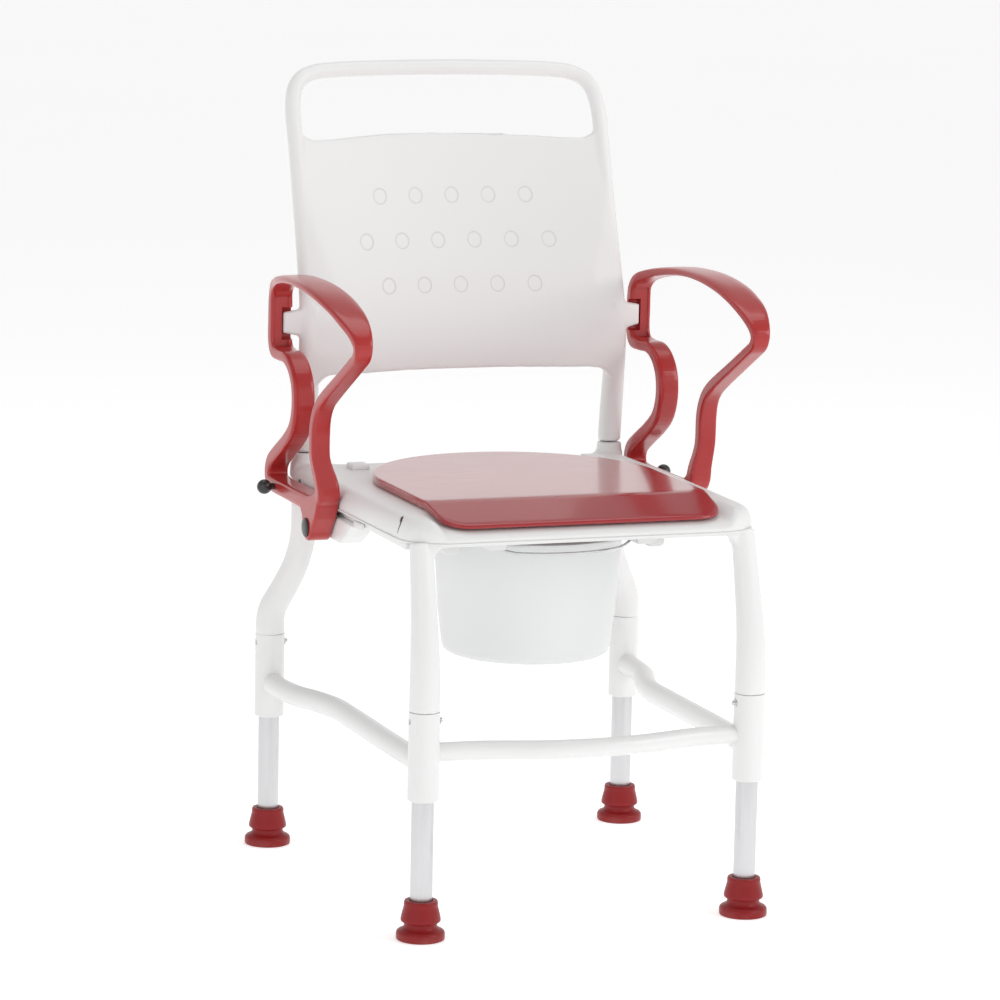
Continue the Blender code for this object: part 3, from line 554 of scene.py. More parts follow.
def joined(shapes):
    """Several shapes in one bmesh, not yet united."""
    whole = bmesh.new()
    for bm in shapes:
        mesh = mesh_of(bm)
        whole.from_mesh(mesh)
        bpy.data.meshes.remove(mesh)
    return whole


def fused(shapes, voxel, rounds):
    """Melts overlapping shapes into one skin, with fillets where they meet."""
    obj = helper(mesh_of(joined(shapes)))
    remesh = obj.modifiers.new("melt", "REMESH")
    remesh.mode = "VOXEL"
    remesh.voxel_size = voxel * 1.0
    smooth = obj.modifiers.new("settle", "SMOOTH")
    smooth.factor = 0.5
    smooth.iterations = rounds
    return opened(used_up(obj))


def carved(bm, cutters, operation="DIFFERENCE"):
    """Cuts each cutter out of the shape, or keeps only what lies inside it."""
    obj = helper(mesh_of(bm))
    tools = []
    for cutter in cutters:
        tool = helper(mesh_of(cutter))
        modifier = obj.modifiers.new("cut", "BOOLEAN")
        modifier.operation = operation
        modifier.solver = "EXACT"
        modifier.object = tool
        tools.append(tool)
    result = opened(used_up(obj))
    for tool in tools:
        bpy.data.objects.remove(tool, do_unlink=True)
    return result


def flipped(bm):
    """The other side's copy of a right-hand shape."""
    twin = bm.copy()
    bmesh.ops.scale(twin, vec=(-1, 1, 1), verts=twin.verts)
    bmesh.ops.reverse_faces(twin, faces=twin.faces)
    return twin


def settle(bm, name, body, material, stands_for=(), crease=38):
    """Makes the shape a finished piece that rides on its body."""
    bmesh.ops.transform(bm, matrix=TO_FRAME, verts=bm.verts)
    mesh = mesh_of(bm)
    mesh.name = name
    mesh.shade_smooth()
    mesh.set_sharp_from_angle(angle=radians(crease))
    mesh.materials.append(material)
    obj = bpy.data.objects.new(name, mesh)
    bpy.context.scene.collection.objects.link(obj)
    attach(obj, body)
    if stands_for:
        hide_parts(*stands_for)
    return obj


# --- frame


def leg_places():
    """The side, the two words of the name and the place on the floor of each leg."""
    for side, hand in SIDES:
        for end, leg in (("front", FRONT_LEG), ("rear", REAR_LEG)):
            yield side, f"{end}_{hand}", Vector((side * leg.x, leg.y, 0.0))


SLEEVE_RADIUS = 0.0197
SLEEVE_TOP = 0.2893
SLEEVE_BORE = 0.0146
SLEEVE_BOTTOM = 0.177
LOCK_HEIGHT = 0.2775
# Levels of the inner tube's ends
INNER_TUBE = (0.0305, 0.2215)
# Turned profiles, as (radius, distance along the axis)
FOOT = (
    (0.0285, 0.0),
    (0.0302, 0.0008),
    (0.0306, 0.0024),
    (0.0306, 0.0082),
    (0.0300, 0.0102),
    (0.0284, 0.0118),
    (0.0248, 0.0132),
    (0.0222, 0.0150),
    (0.0208, 0.0176),
    (0.0206, 0.0200),
    (0.0214, 0.0220),
    (0.0240, 0.0230),
    (0.0250, 0.0240),
    (0.0252, 0.0256),
    (0.0250, 0.0276),
    (0.0238, 0.0330),
    (0.0220, 0.0400),
    (0.0212, 0.0440),
    (0.0214, 0.0458),
    (0.0212, 0.0480),
    (0.0204, 0.0496),
    (0.0190, 0.0500),
    (0.0150, 0.0498),
    (0.0145, 0.0470),
)
LOCK_SCREW = (
    (0.0028, -0.0040),
    (0.0028, 0.0),
    (0.0052, 0.0),
    (0.0052, 0.0009),
    (0.0030, 0.0012),
    (0.0030, 0.0034),
    (0.0024, 0.0043),
    (0.0012, 0.0048),
)


def sleeve(place, side):
    """An open sleeve with softened rims and the hole of its lock."""
    wall = (
        (SLEEVE_BORE, SLEEVE_TOP),
        (SLEEVE_BORE, SLEEVE_BOTTOM + 0.0008),
        (SLEEVE_BORE + 0.0008, SLEEVE_BOTTOM),
        (SLEEVE_RADIUS - 0.0012, SLEEVE_BOTTOM),
        (SLEEVE_RADIUS, SLEEVE_BOTTOM + 0.0012),
        (SLEEVE_RADIUS, SLEEVE_TOP - 0.0003),
        (SLEEVE_RADIUS - 0.0003, SLEEVE_TOP),
    )
    bm = turned(wall, place, hollow=True)
    start = place + Vector((side * 0.0165, 0, LOCK_HEIGHT))
    end = place + Vector((side * 0.030, 0, LOCK_HEIGHT))
    return carved(bm, [rod(start, end, 0.0042, 32)])


def tube_bore(place):
    """What the inner tube slides up into inside an upper leg."""
    low, high = (place + Vector((0, 0, height)) for height in (0.285, 0.3065))
    return rod(low, high, SLEEVE_BORE)


def front_frame():
    """Both upper front legs and the apron, grown into one another."""
    shapes = []
    for side, _ in SIDES:
        x, y = side * FRONT_LEG.x, FRONT_LEG.y
        stations = (
            (x, y, 0.2895, 0.0194),
            (x, y, 0.310, 0.0194),
            (x, y + 0.0008, 0.335, 0.0190),
            (x, y + 0.0035, 0.365, 0.0181),
            (x - side * 0.001, y + 0.012, 0.410, 0.0166),
            (x - side * 0.002, y + 0.024, 0.460, 0.0153),
            (x - side * 0.003, y + 0.032, 0.4945, 0.0150),
        )
        shapes.append(tube(smooth_run(stations, 4), 14))
    fillet, edge, under, top = 0.014, 0.2020, 0.4895, 0.4952
    arc = [radians(90 * k / 8) for k in range(9)]
    right = [(edge - fillet + fillet * sin(a), under - fillet + fillet * cos(a)) for a in arc]
    right += [(edge + 0.012, under - fillet), (edge + 0.012, top)]
    outline = right + [(-a, b) for a, b in reversed(right)]
    shapes.append(slab(outline, -0.2010, -0.1775, "Y"))
    places = [Vector((side * FRONT_LEG.x, FRONT_LEG.y, 0)) for side, _ in SIDES]
    return carved(fused(shapes, 0.0018, 2), [tube_bore(place) for place in places])


def rear_leg(side):
    """An upper rear leg, cranked in from the sleeve to stand under the seat's corner."""
    x, y = side * REAR_LEG.x, REAR_LEG.y
    stations = (
        (x, y, 0.2895, 0.0194),
        (x, y, 0.3075, 0.0191),
        (x - side * 0.0035, y - 0.002, 0.326, 0.0184),
        (x - side * 0.0175, y - 0.010, 0.356, 0.0176),
        (POST.x * side + side * 0.0072, POST.y + 0.0035, 0.390, 0.0171),
        (POST.x * side, POST.y, 0.430, 0.0169),
        (POST.x * side, POST.y, 0.4945, 0.0169),
    )
    return carved(tube(smooth_run(stations, 6), 18), [tube_bore(Vector((x, y, 0)))])


def side_rail(side):
    """A side stretcher, from behind the front sleeve to the rear one, with its weld at each end."""
    z, r = 0.2225, 0.0142
    run = (
        (side * FRONT_LEG.x, FRONT_LEG.y + 0.0175, z, r + 0.0006),
        (side * FRONT_LEG.x, FRONT_LEG.y + 0.0295, z, r + 0.0006),
        (side * FRONT_LEG.x, FRONT_LEG.y + 0.0297, z, r),
        (side * FRONT_LEG.x, FRONT_LEG.y + 0.0350, z, r),
        (side * 0.2200, -0.100, z, r),
        (side * 0.2205, 0.070, z, r),
        (side * 0.2222, 0.115, z, r),
        (side * 0.2325, 0.160, z, r),
        (side * 0.2475, 0.200, z, r),
        (side * 0.2545, 0.245, z, r),
        (side * REAR_LEG.x, REAR_LEG.y - 0.0195, z, r + 0.0006),
    )
    return tube(smooth_run(run, 6), 14)


def front_rail():
    """The stretcher between the front sleeves, bowed forward in the middle."""
    z, r = 0.236, 0.0121
    half = (
        (-FRONT_LEG.x + 0.0150, -0.2160, z, r + 0.001),
        (-0.1950, -0.2162, z, r),
        (-0.150, -0.2190, z, r),
        (-0.110, -0.2275, z, r),
        (-0.064, -0.2385, z, r),
        (-0.020, -0.2430, z, r),
    )
    return tube(smooth_run(list(half) + mirror_x(half), 6), 14)


# --- seat


def rounded(corners, step=9):
    """A polygon of (x, y, radius) corners with each turned into an arc."""
    points = []
    for i, (x, y, radius) in enumerate(corners):
        here = Vector((x, y))
        back = (Vector(corners[i - 1][:2]) - here).normalized()
        ahead = (Vector(corners[(i + 1) % len(corners)][:2]) - here).normalized()
        if radius <= 0:
            points.append((x, y))
            continue
        half = back.angle(ahead) / 2
        centre = here + (back + ahead).normalized() * (radius / sin(half))
        start = here + back * (radius * cos(half) / sin(half))
        end = here + ahead * (radius * cos(half) / sin(half))
        steps = max(2, round((pi - 2 * half) / radians(step)))
        for k in range(steps + 1):
            arm = (start - centre).lerp(end - centre, k / steps)
            points.append(tuple(centre + arm.normalized() * radius))
    return points


def seat_outline(inset=0.0):
    """The seat from above, narrower behind the posts; a larger inset shrinks it."""
    half = [
        (0.0, -0.2125 + inset, 0.0),
        (0.2360 - inset, -0.2125 + inset, 0.058 - inset),
        (0.2405 - inset, 0.060, 0.25),
        (0.2345 - inset, 0.2960 - inset, max(0.002, 0.024 - inset)),
        (0.190 + inset, 0.2960 - inset, max(0.002, 0.018 - inset)),
        (0.176 + inset, 0.262 - inset, 0.020 + inset),
        (0.0, 0.262 - inset, 0.0),
    ]
    left = [(-x, y, r) for x, y, r in reversed(half[1:-1])]
    return rounded(half + left)


# The hooked slit on each side near the front, as (y, z)
HOOK = (
    (-0.1588, 0.5025),
    (-0.1572, 0.5025),
    (-0.1570, 0.5080),
    (-0.1572, 0.5120),
    (-0.1550, 0.5150),
    (-0.1495, 0.5170),
    (-0.1450, 0.5200),
    (-0.1470, 0.5225),
    (-0.1530, 0.5210),
    (-0.1585, 0.5180),
    (-0.1608, 0.5140),
    (-0.1605, 0.5090),
)


def seat_core(margin=0.0):
    """The seat's outer skin with rolled edges, or what lies a margin inside it."""
    rings = [[(x, y, SEAT_BOTTOM) for x, y in seat_outline(margin)]]
    for k in range(10):
        a = radians(10 * k)
        inset, drop = SEAT_ROLL[0] * (1 - cos(a)), SEAT_ROLL[1] * (1 - sin(a))
        rings.append([(x, y, SEAT_TOP - drop - margin) for x, y in seat_outline(inset + margin)])
    return bridged(rings)


SLOPE_START = -0.126
SLOPE = 0.200


def seat_moulding():
    """The shell: rolled edges, a slope under the pad's front and two flared post collars."""
    shapes = [seat_core()]
    for side, _ in SIDES:
        collar = (
            (0.0195, SEAT_TOP - 0.020),
            (0.0185, SEAT_TOP - 0.002),
            (0.0170, SEAT_TOP + 0.004),
            (0.0164, COLLAR_TOP - 0.003),
            (0.0164, COLLAR_TOP),
        )
        shapes.append(turned(collar, (side * POST.x, POST.y, 0), steps=48))
    shell = fused(shapes, 0.0024, 3)
    for vertex in shell.verts:
        x, y, z = vertex.co
        past = max(0.0, SLOPE_START - y)
        mask = eased(1.0 - clamped((abs(x) - 0.186) / 0.020))
        lift = clamped((z - 0.4985) / 0.025)
        vertex.co.z -= SLOPE * past * mask * lift
    cutters = [slab(oval(*SEAT_OPENING), *THROUGH_SEAT)]
    for side, _ in SIDES:
        cutters.append(side_slab(side, HOOK, 0.2200, 0.2500))
        cutters.append(rod((side * 0.2310, *KNOB), (side * 0.250, *KNOB), 0.0084, 40))
    return carved(shell, cutters)


# The armrest's bracket from the side, as (y, z, corner radius)
BRACKET = (
    (0.014, 0.4837, 0.0),
    (0.014, 0.4800, 0.002),
    (0.033, 0.4650, 0.006),
    (0.058, 0.4520, 0.012),
    (0.150, 0.4520, 0.014),
    (0.176, 0.4640, 0.012),
    (0.190, 0.4837, 0.0),
)
PIN_BUSH = ((0.0080, -0.0042), (0.0080, -0.0006), (0.0074, 0.0), (0.0040, 0.0), (0.0036, -0.0030))
FLANGE_GAP = 0.0006


# --- pad

PAD_RADIUS = 0.190
PAD_CENTRE_Y = 0.045
PAD_FRONT = -0.2035
PAD_BREAK = -0.125
PAD_CORNER = 0.036


def pad_outline(inset, front_inset):
    """The pad from above: a half circle behind, straight sides and two rounded front corners."""
    radius = PAD_RADIUS - inset
    arc = [radians(180 * k / 64) for k in range(65)]
    points = [(radius * cos(a), PAD_CENTRE_Y + radius * sin(a)) for a in arc]
    front = PAD_FRONT + front_inset
    corner = PAD_CORNER - inset
    waist = radius - 0.002
    turn = [radians(180 + 90 * k / 14) for k in range(15)]
    left = [(-waist + corner + corner * cos(a), front + corner + corner * sin(a)) for a in turn]
    side = [(-radius, PAD_CENTRE_Y + (PAD_BREAK - PAD_CENTRE_Y) * k / 12) for k in range(1, 13)]
    down = [(-radius + 0.002 * k / 4, PAD_BREAK - 0.038 * k / 4) for k in range(1, 4)]
    flank = side + down + left
    bottom = [((2 * waist - 2 * corner) * (k / 24 - 0.5), front) for k in range(1, 24)]
    return points + flank + bottom + [(-x, y) for x, y in reversed(flank)]


def pad_ring(inset, front_inset, level, slope):
    """A line round the pad at one level; the level falls at the front, past the break."""
    outline = pad_outline(inset, front_inset)
    return [(x, y, level - slope * max(0.0, PAD_BREAK - y)) for x, y in outline]


def pad_shape():
    """Foam in a closed skin: flat underneath, tight edges, flat top with a creased front slope."""
    rings = [
        pad_ring(0.0030, 0.0060, 0.5242, 0.165),
        pad_ring(0.0010, 0.0024, 0.5246, 0.165),
        pad_ring(0.0002, 0.0008, 0.5258, 0.172),
        pad_ring(0.0, 0.0, 0.5276, 0.185),
        pad_ring(0.0, 0.0002, 0.5310, 0.208),
        pad_ring(0.0, 0.0010, 0.5336, 0.222),
        pad_ring(0.0003, 0.0024, 0.5347, 0.229),
        pad_ring(0.0009, 0.0044, 0.5354, 0.234),
        pad_ring(0.0018, 0.0070, 0.5357, 0.236),
        pad_ring(0.0034, 0.0110, 0.5357, 0.236),
        pad_ring(0.0060, 0.0180, 0.5357, 0.236),
    ]
    bm = bridged(rings)
    bm.faces.ensure_lookup_table()
    top = max(bm.faces, key=lambda face: len(face.verts) * face.calc_center_median().z)
    bmesh.ops.bisect_plane(
        bm,
        geom=[top, *top.edges, *top.verts],
        plane_co=(0, PAD_BREAK, 0),
        plane_no=(0, 1, 0),
    )
    return bm


# --- backrest

POST_RUN = (
    (0.218, 0.2780, 0.5375, 0.0155),
    (0.218, 0.2780, 0.5450, 0.0155),
    (0.218, 0.2755, 0.570, 0.0155),
    (0.218, 0.2695, 0.620, 0.0150),
    (0.218, 0.2640, 0.670, 0.0142),
    (0.218, 0.2645, 0.7117, 0.0132),
    (0.218, 0.2760, 0.7600, 0.0120),
    (0.218, 0.2935, 0.8150, 0.0112),
    (0.218, 0.3110, 0.8700, 0.0108),
    (0.218, 0.3305, 0.9320, 0.0105),
    (0.2178, 0.3500, 0.985, 0.0105),
    (0.2095, 0.3640, 1.0160, 0.0105),
    (0.1880, 0.3735, 1.0310, 0.0105),
    (0.1500, 0.3795, 1.0360, 0.0105),
    (0.0750, 0.3835, 1.0380, 0.0105),
)
BACK_LINE = (
    (0.600, 0.2700),
    (0.640, 0.2612),
    (0.690, 0.2642),
    (0.7560, 0.2818),
    (0.8135, 0.3040),
    (0.8715, 0.3262),
    (0.9600, 0.3605),
)


def along(line, z):
    """Y at a height, on a line of (z, y) points."""
    for (z0, y0), (z1, y1) in zip(line, line[1:]):
        if z <= z1:
            break
    return y0 + (y1 - y0) * (z - z0) / (z1 - z0)


def back_front(x, z):
    """Y of the panel's front: dished across, and level with the posts at its edges."""
    fine = [(p[0], p[1]) for p in smooth_run(BACK_LINE, 6)]
    posts = [(p[2], p[1] - p[3]) for p in POST_RUN[:11]]
    dished = along(fine, z) - 0.57 * x * x
    return max(dished, along(posts, z) - 0.0005)


def backrest():
    """Panel, posts, push handle and ears in one skin."""
    columns, rows = 44, 40
    rings = []
    for k in range(rows + 1):
        share = k / rows
        edge = []
        for i in range(columns + 1):
            x = -0.214 + 0.428 * i / columns
            flare = max(0.0, (abs(x) - 0.178) / 0.036) ** 2
            low = 0.645 - 0.020 * flare
            high = 0.9530 - 0.28 * x * x + 0.016 * flare
            edge.append((x, low + (high - low) * share))
        front = [(x, back_front(x, z), z) for x, z in edge]
        back = [(x, back_front(x, z) + 0.0125, z) for x, z in reversed(edge)]
        rings.append(front + back)
    shapes = [bridged(rings)]
    line = list(POST_RUN) + [(0.0, 0.3845, 1.0385, 0.0105)] + mirror_x(POST_RUN)
    shapes.append(tube(smooth_run(line, 5), 14))
    for side, _ in SIDES:
        root = ((0.2520, 0.2735), (0.6915, 0.7310))
        tip = ((0.2662, 0.2742), (0.6975, 0.7258))
        rings = []
        for x, ((y0, y1), (z0, z1)) in ((0.212, root), (0.2527, tip)):
            rings.append([(side * x, y, z) for y, z in ((y0, z0), (y1, z0), (y1, z1), (y0, z1))])
        shapes.append(bridged(rings))
    return fused(shapes, 0.0024, 7)


# --- armrests

# Stations round the loop: y, z, middle x, width along X and thickness.
ARM_LOOP = (
    (0.2757, 0.690, 0.2550, 0.0300, 0.0185),
    (0.2757, 0.715, 0.2550, 0.0300, 0.0185),
    (0.2755, 0.735, 0.2550, 0.0300, 0.0180),
    (0.2730, 0.750, 0.2555, 0.0300, 0.0155),
    (0.2620, 0.7615, 0.2575, 0.0315, 0.0130),
    (0.2400, 0.7690, 0.2605, 0.0340, 0.0120),
    (0.2000, 0.7770, 0.2660, 0.0390, 0.0120),
    (0.1500, 0.7830, 0.2705, 0.0430, 0.0120),
    (0.1000, 0.7848, 0.2728, 0.0460, 0.0120),
    (0.0500, 0.7828, 0.2732, 0.0480, 0.0120),
    (0.0000, 0.7765, 0.2728, 0.0480, 0.0120),
    (-0.0400, 0.7675, 0.2715, 0.0450, 0.0120),
    (-0.0710, 0.7570, 0.2705, 0.0390, 0.0120),
    (-0.0950, 0.7440, 0.2690, 0.0300, 0.0125),
    (-0.1055, 0.7300, 0.2682, 0.0240, 0.0135),
    (-0.1010, 0.7165, 0.2677, 0.0225, 0.0140),
    (-0.0830, 0.7055, 0.2672, 0.0225, 0.0140),
    (-0.0400, 0.6825, 0.2672, 0.0225, 0.0140),
    (0.0150, 0.6535, 0.2672, 0.0235, 0.0145),
    (0.0410, 0.6375, 0.2675, 0.0235, 0.0150),
    (0.0550, 0.6210, 0.2678, 0.0240, 0.0160),
    (0.0615, 0.6000, 0.2680, 0.0250, 0.0170),
    (0.0620, 0.5700, 0.2678, 0.0250, 0.0170),
    (0.0610, 0.5550, 0.2655, 0.0260, 0.0175),
    (0.0590, 0.5350, 0.2600, 0.0290, 0.0190),
    (0.0600, 0.5150, 0.2570, 0.0300, 0.0220),
    (0.0900, 0.4990, 0.2570, 0.0300, 0.0240),
    (0.1300, 0.4975, 0.2570, 0.0295, 0.0210),
    (0.2000, 0.4975, 0.2570, 0.0285, 0.0200),
    (0.2500, 0.4975, 0.2570, 0.0285, 0.0200),
    (0.2725, 0.5010, 0.2570, 0.0285, 0.0200),
    (0.2785, 0.5130, 0.2570, 0.0285, 0.0195),
    (0.2710, 0.5285, 0.2565, 0.0285, 0.0190),
    (0.2450, 0.5445, 0.2562, 0.0285, 0.0185),
    (0.2110, 0.5630, 0.2560, 0.0285, 0.0180),
    (0.1835, 0.5830, 0.2560, 0.0285, 0.0175),
    (0.1712, 0.6055, 0.2560, 0.0285, 0.0175),
    (0.1695, 0.6280, 0.2560, 0.0285, 0.0175),
    (0.1762, 0.6478, 0.2560, 0.0285, 0.0170),
    (0.1925, 0.6640, 0.2560, 0.0285, 0.0155),
    (0.2150, 0.6725, 0.2560, 0.0285, 0.0145),
    (0.2430, 0.6725, 0.2555, 0.0290, 0.0150),
    (0.2665, 0.6755, 0.2550, 0.0300, 0.0180),
)
EAR_HEIGHT = 0.7117
LUG_RADIUS = 0.0175


def arm_section(width, thickness):
    """Boxy where the arm is narrow and lens-shaped where it is wide."""
    power = 7.0 - 4.2 * clamped((width - 0.031) / 0.014)
    points = []
    for k in range(40):
        a = 2 * pi * k / 40
        u, v = cos(a), sin(a)
        size = (abs(u) ** power + abs(v) ** power) ** (-1 / power)
        points.append((u * size * width / 2, v * size * thickness / 2))
    return points


def armrest():
    """The right-hand armrest, with its boss, ear notch and recessed face."""
    run = smooth_run(ARM_LOOP, 4, closed=True)
    rings = []
    for i, (y, z, x, width, thickness) in enumerate(run):
        before, after = run[i - 1], run[(i + 1) % len(run)]
        ahead = Vector((0, after[0] - before[0], after[1] - before[1])).normalized()
        out = Vector((0, -ahead.z, ahead.y))
        middle = Vector((x, y, z))
        section = arm_section(width, thickness)
        rings.append([middle + Vector((u, 0, 0)) + v * out for u, v in section])
    py, pz = PIVOT
    arc = [radians(195 + 165 * k / 14) for k in range(15)]
    lug = [
        (py - 0.045, pz + 0.050),
        (py - 0.043, pz + 0.032),
        (py - 0.034, pz + 0.016),
        (py - 0.022, pz + 0.002),
        *[(py + LUG_RADIUS * cos(a), pz + LUG_RADIUS * sin(a)) for a in arc],
        (py + 0.020, pz + 0.012),
        (py + 0.034, pz + 0.026),
        (py + 0.030, pz + 0.034),
    ]
    boss = slab(lug, 0.2415, 0.2718, "X")
    soften(boss, sharp_edges(boss, 60), 0.003, 3)
    skin = fused([bridged(rings, closed=True), boss], 0.00130, 3)
    low, high = (0.230, 0.2540, EAR_HEIGHT - 0.0225), (0.2550, 0.2765, EAR_HEIGHT + 0.0205)
    notch = block(low, high, 0.0)
    across = [e for e in notch.edges if abs(e.verts[0].co.x - e.verts[1].co.x) > 0.01]
    soften(notch, across, 0.004, 4)
    face = block((0.2465, 0.2560, 0.6745), (0.2655, 0.2683, 0.7475), 0.0012)
    pin = rod((0.230, *KNOB), (0.290, *KNOB), 0.0040, 32)
    return carved(skin, [notch, face, pin])


PIVOT_CAP = (
    (0.0042, -0.0405),
    (0.0042, 0.0),
    (0.0118, 0.0),
    (0.0125, 0.0006),
    (0.0124, 0.0014),
    (0.0112, 0.0023),
    (0.0080, 0.0030),
    (0.0040, 0.0034),
)
BALL_RADIUS = 0.0098


def ball_knob():
    """The lock pin's ball and stem, as (radius, distance) points."""
    profile = [(0.0030, -0.0470), (0.0030, -0.0125), (0.0046, -0.0120), (0.0046, -0.0088)]
    for k in range(17):
        a = radians(152 - 150 * k / 16)
        profile.append((BALL_RADIUS * sin(a), BALL_RADIUS * cos(a)))
    return profile


# --- bucket

RIM_TOP = 0.4730
RIM_BOTTOM = 0.4690
BAIL_TURN = radians(225.5)
BAIL_REACH = 0.1418
BAIL_DIP = 0.0085
BAIL_WIRE = 0.0019
BUCKET_BOTTOM = 0.3110


def bucket_shape():
    """The turned bucket with its rim, and the two lugs that the bail hangs from."""
    low = BUCKET_BOTTOM
    wall = (
        (0.0960, low + 0.0016),
        (0.0985, low),
        (0.1030, low + 0.0008),
        (0.1070, low + 0.0036),
        (0.1092, low + 0.0085),
        (0.1103, low + 0.016),
        (0.1150, low + 0.055),
        (0.1205, RIM_BOTTOM - 0.024),
        (0.1216, RIM_BOTTOM - 0.004),
        (0.1230, RIM_BOTTOM - 0.0005),
        (0.1360, RIM_BOTTOM),
        (0.1376, RIM_BOTTOM + 0.0008),
        (0.1380, RIM_BOTTOM + 0.0020),
        (0.1376, RIM_TOP - 0.0008),
        (0.1360, RIM_TOP),
        (0.1210, RIM_TOP),
        (0.1193, RIM_TOP - 0.0015),
        (0.1178, RIM_BOTTOM - 0.024),
        (0.1122, low + 0.055),
        (0.1062, low + 0.012),
        (0.0990, low + 0.0035),
    )
    shapes = [turned(wall, (0, BUCKET_Y, 0), steps=112)]
    pivot, first = bail_axis()
    for way in (first, -first):
        lug = ((0.0040, 0.0), (0.0048, 0.0008), (0.0048, 0.0110), (0.0040, 0.0117))
        shapes.append(turned(lug, pivot + way * 0.128, way, 28))
    return joined(shapes)


def bail_axis():
    """The middle of the bail's axis, and its direction."""
    first = Vector((cos(BAIL_TURN), sin(BAIL_TURN), 0))
    return Vector((0, BUCKET_Y, (RIM_TOP + RIM_BOTTOM) / 2)), first


def bail_wire():
    """The wire handle, stored along the rim and dipped where the seat is above it."""
    pivot, first = bail_axis()
    second = Vector((-first.y, first.x, 0))
    ends = (0.1352, 0.1375, 0.1402)
    run = [pivot + first * d for d in ends]
    for k in range(46):
        degrees = 2 + 176 * k / 45
        a = radians(degrees)
        dip = eased(clamped(degrees / 20) * clamped((102 - degrees) / 24))
        out = first * cos(a) + second * sin(a)
        run.append(pivot + BAIL_REACH * out - Vector((0, 0, BAIL_DIP * dip)))
    run += [pivot - first * d for d in reversed(ends)]
    return tube([(*point, BAIL_WIRE) for point in run], 6)


RAIL_END = 0.150


def bucket_rail(side):
    """The channel that the bucket's rim slides in, with a rounded front end."""
    ledge, wall, outside = 0.1285, 0.1455, 0.1500
    low, shelf, top = RIM_BOTTOM - 0.0105, RIM_BOTTOM - GAP, SEAT_BOTTOM - GAP
    outline = rounded(
        [
            (ledge, low, 0.002),
            (outside, low, 0.0065),
            (outside, top, 0.0),
            (wall, top, 0.0),
            (wall, shelf, 0.0015),
            (ledge, shelf, 0.0008),
        ]
    )
    bm = slab([(side * a, b) for a, b in outline], -0.090, RAIL_END, "Y")
    soften(bm, sharp_edges(bm, 70), 0.0008, 2)
    return bm


CUT_GUIDE_END = -0.112


def rail_guide(side, end):
    """The guide above the bucket's rim; the right-hand one is cut short to clear the bail."""
    outline = rounded(
        [
            (0.0890, 0.4738, 0.0010),
            (0.1180, 0.4738, 0.0110),
            (0.1180, 0.4947, 0.0),
            (0.0890, 0.4947, 0.0),
        ]
    )
    bm = slab([(side * a, b) for a, b in outline], -0.1500, end, "Y")
    soften(bm, sharp_edges(bm, 70), 0.0008, 2)
    return bm


# --- stage

CAMERA_AZIMUTH = radians(-20.53)
CAMERA_ELEVATION = radians(9.57)
CAMERA_ROLL = radians(1.26)
CAMERA_DISTANCE = 5.669
CAMERA_TARGET = (-0.043, 0.0, 0.511)
CAMERA_LENS = 158.7
CAMERA_SENSOR = 36.0
FAR_AWAY = 300.0
WHITE = (1.0, 1.0, 1.0, 1.0)
# The room is white below and fades between these heights of the view direction
SKY_FADE = (0.28, 0.52)
SKY_DIM = 0.55
FLOOR_SIZE = 60.0
FLOOR_GLOW = 0.42
# Name, place, size and share of the key light's power
LAMPS = (
    ("key", (2.6, -2.4, 2.4), 1.8, 1.0),
    ("fill", (-2.8, -2.2, 2.0), 2.4, 0.35),
    ("top", (0.3, 0.6, 3.6), 2.4, 0.7),
)
LAMP_TARGET = (0.0, 0.0, 0.55)


def placed(name, data):
    obj = bpy.data.objects.new(name, data)
    bpy.context.scene.collection.objects.link(obj)
    return obj


def studio_camera():
    data = bpy.data.cameras.new("camera")
    data.lens = CAMERA_LENS
    data.sensor_width = CAMERA_SENSOR
    data.clip_end = FAR_AWAY
    camera = placed("camera", data)
    flat = cos(CAMERA_ELEVATION)
    back = Vector((sin(CAMERA_AZIMUTH) * flat, -cos(CAMERA_AZIMUTH) * flat, sin(CAMERA_ELEVATION)))
    across = Vector((0, 0, 1)).cross(back).normalized()
    up = back.cross(across)
    right = across * cos(CAMERA_ROLL) + up * sin(CAMERA_ROLL)
    above = up * cos(CAMERA_ROLL) - across * sin(CAMERA_ROLL)
    turn = Matrix((right, above, back)).transposed().to_4x4()
    target = TO_FRAME @ Vector(CAMERA_TARGET)
    camera.matrix_world = Matrix.Translation(target + back * CAMERA_DISTANCE) @ turn
    return camera


def studio_world(strength):
    """A white room that is dimmer overhead, so that the top of the picture is pale grey."""
    world = bpy.data.worlds.new("studio")
    sky = Nodes(world, "Background")
    place = sky.node("TexCoord", output="Generated")
    height = sky.node("SeparateXYZ", {}, {"Vector": place}, "Z")
    sky.set("Color", WHITE)
    sky.set("Strength", (1.0 - height.between(*SKY_FADE) * SKY_DIM) * strength)
    return world


def paper_floor():
    bm = bmesh.new()
    bmesh.ops.create_grid(bm, x_segments=1, y_segments=1, size=FLOOR_SIZE)
    floor = placed("floor", mesh_of(bm))
    paper = Finish("floor_paper")
    tone = paper.noise(0.6, 1.0)
    paper.set("Roughness", 0.9)
    paper.set("Base Color", paper.blend(tone, (0.93, 0.93, 0.93), (0.95, 0.95, 0.95)))
    paper.set("Emission Color", WHITE)
    paper.set("Emission Strength", FLOOR_GLOW)
    floor.data.materials.append(paper.material)
    return floor


# --- settings and operators


def colour_setting(name, description, default):
    return bpy.props.FloatVectorProperty(
        name=name,
        description=description,
        subtype="COLOR",
        size=3,
        min=0.0,
        max=1.0,
        default=default,
    )


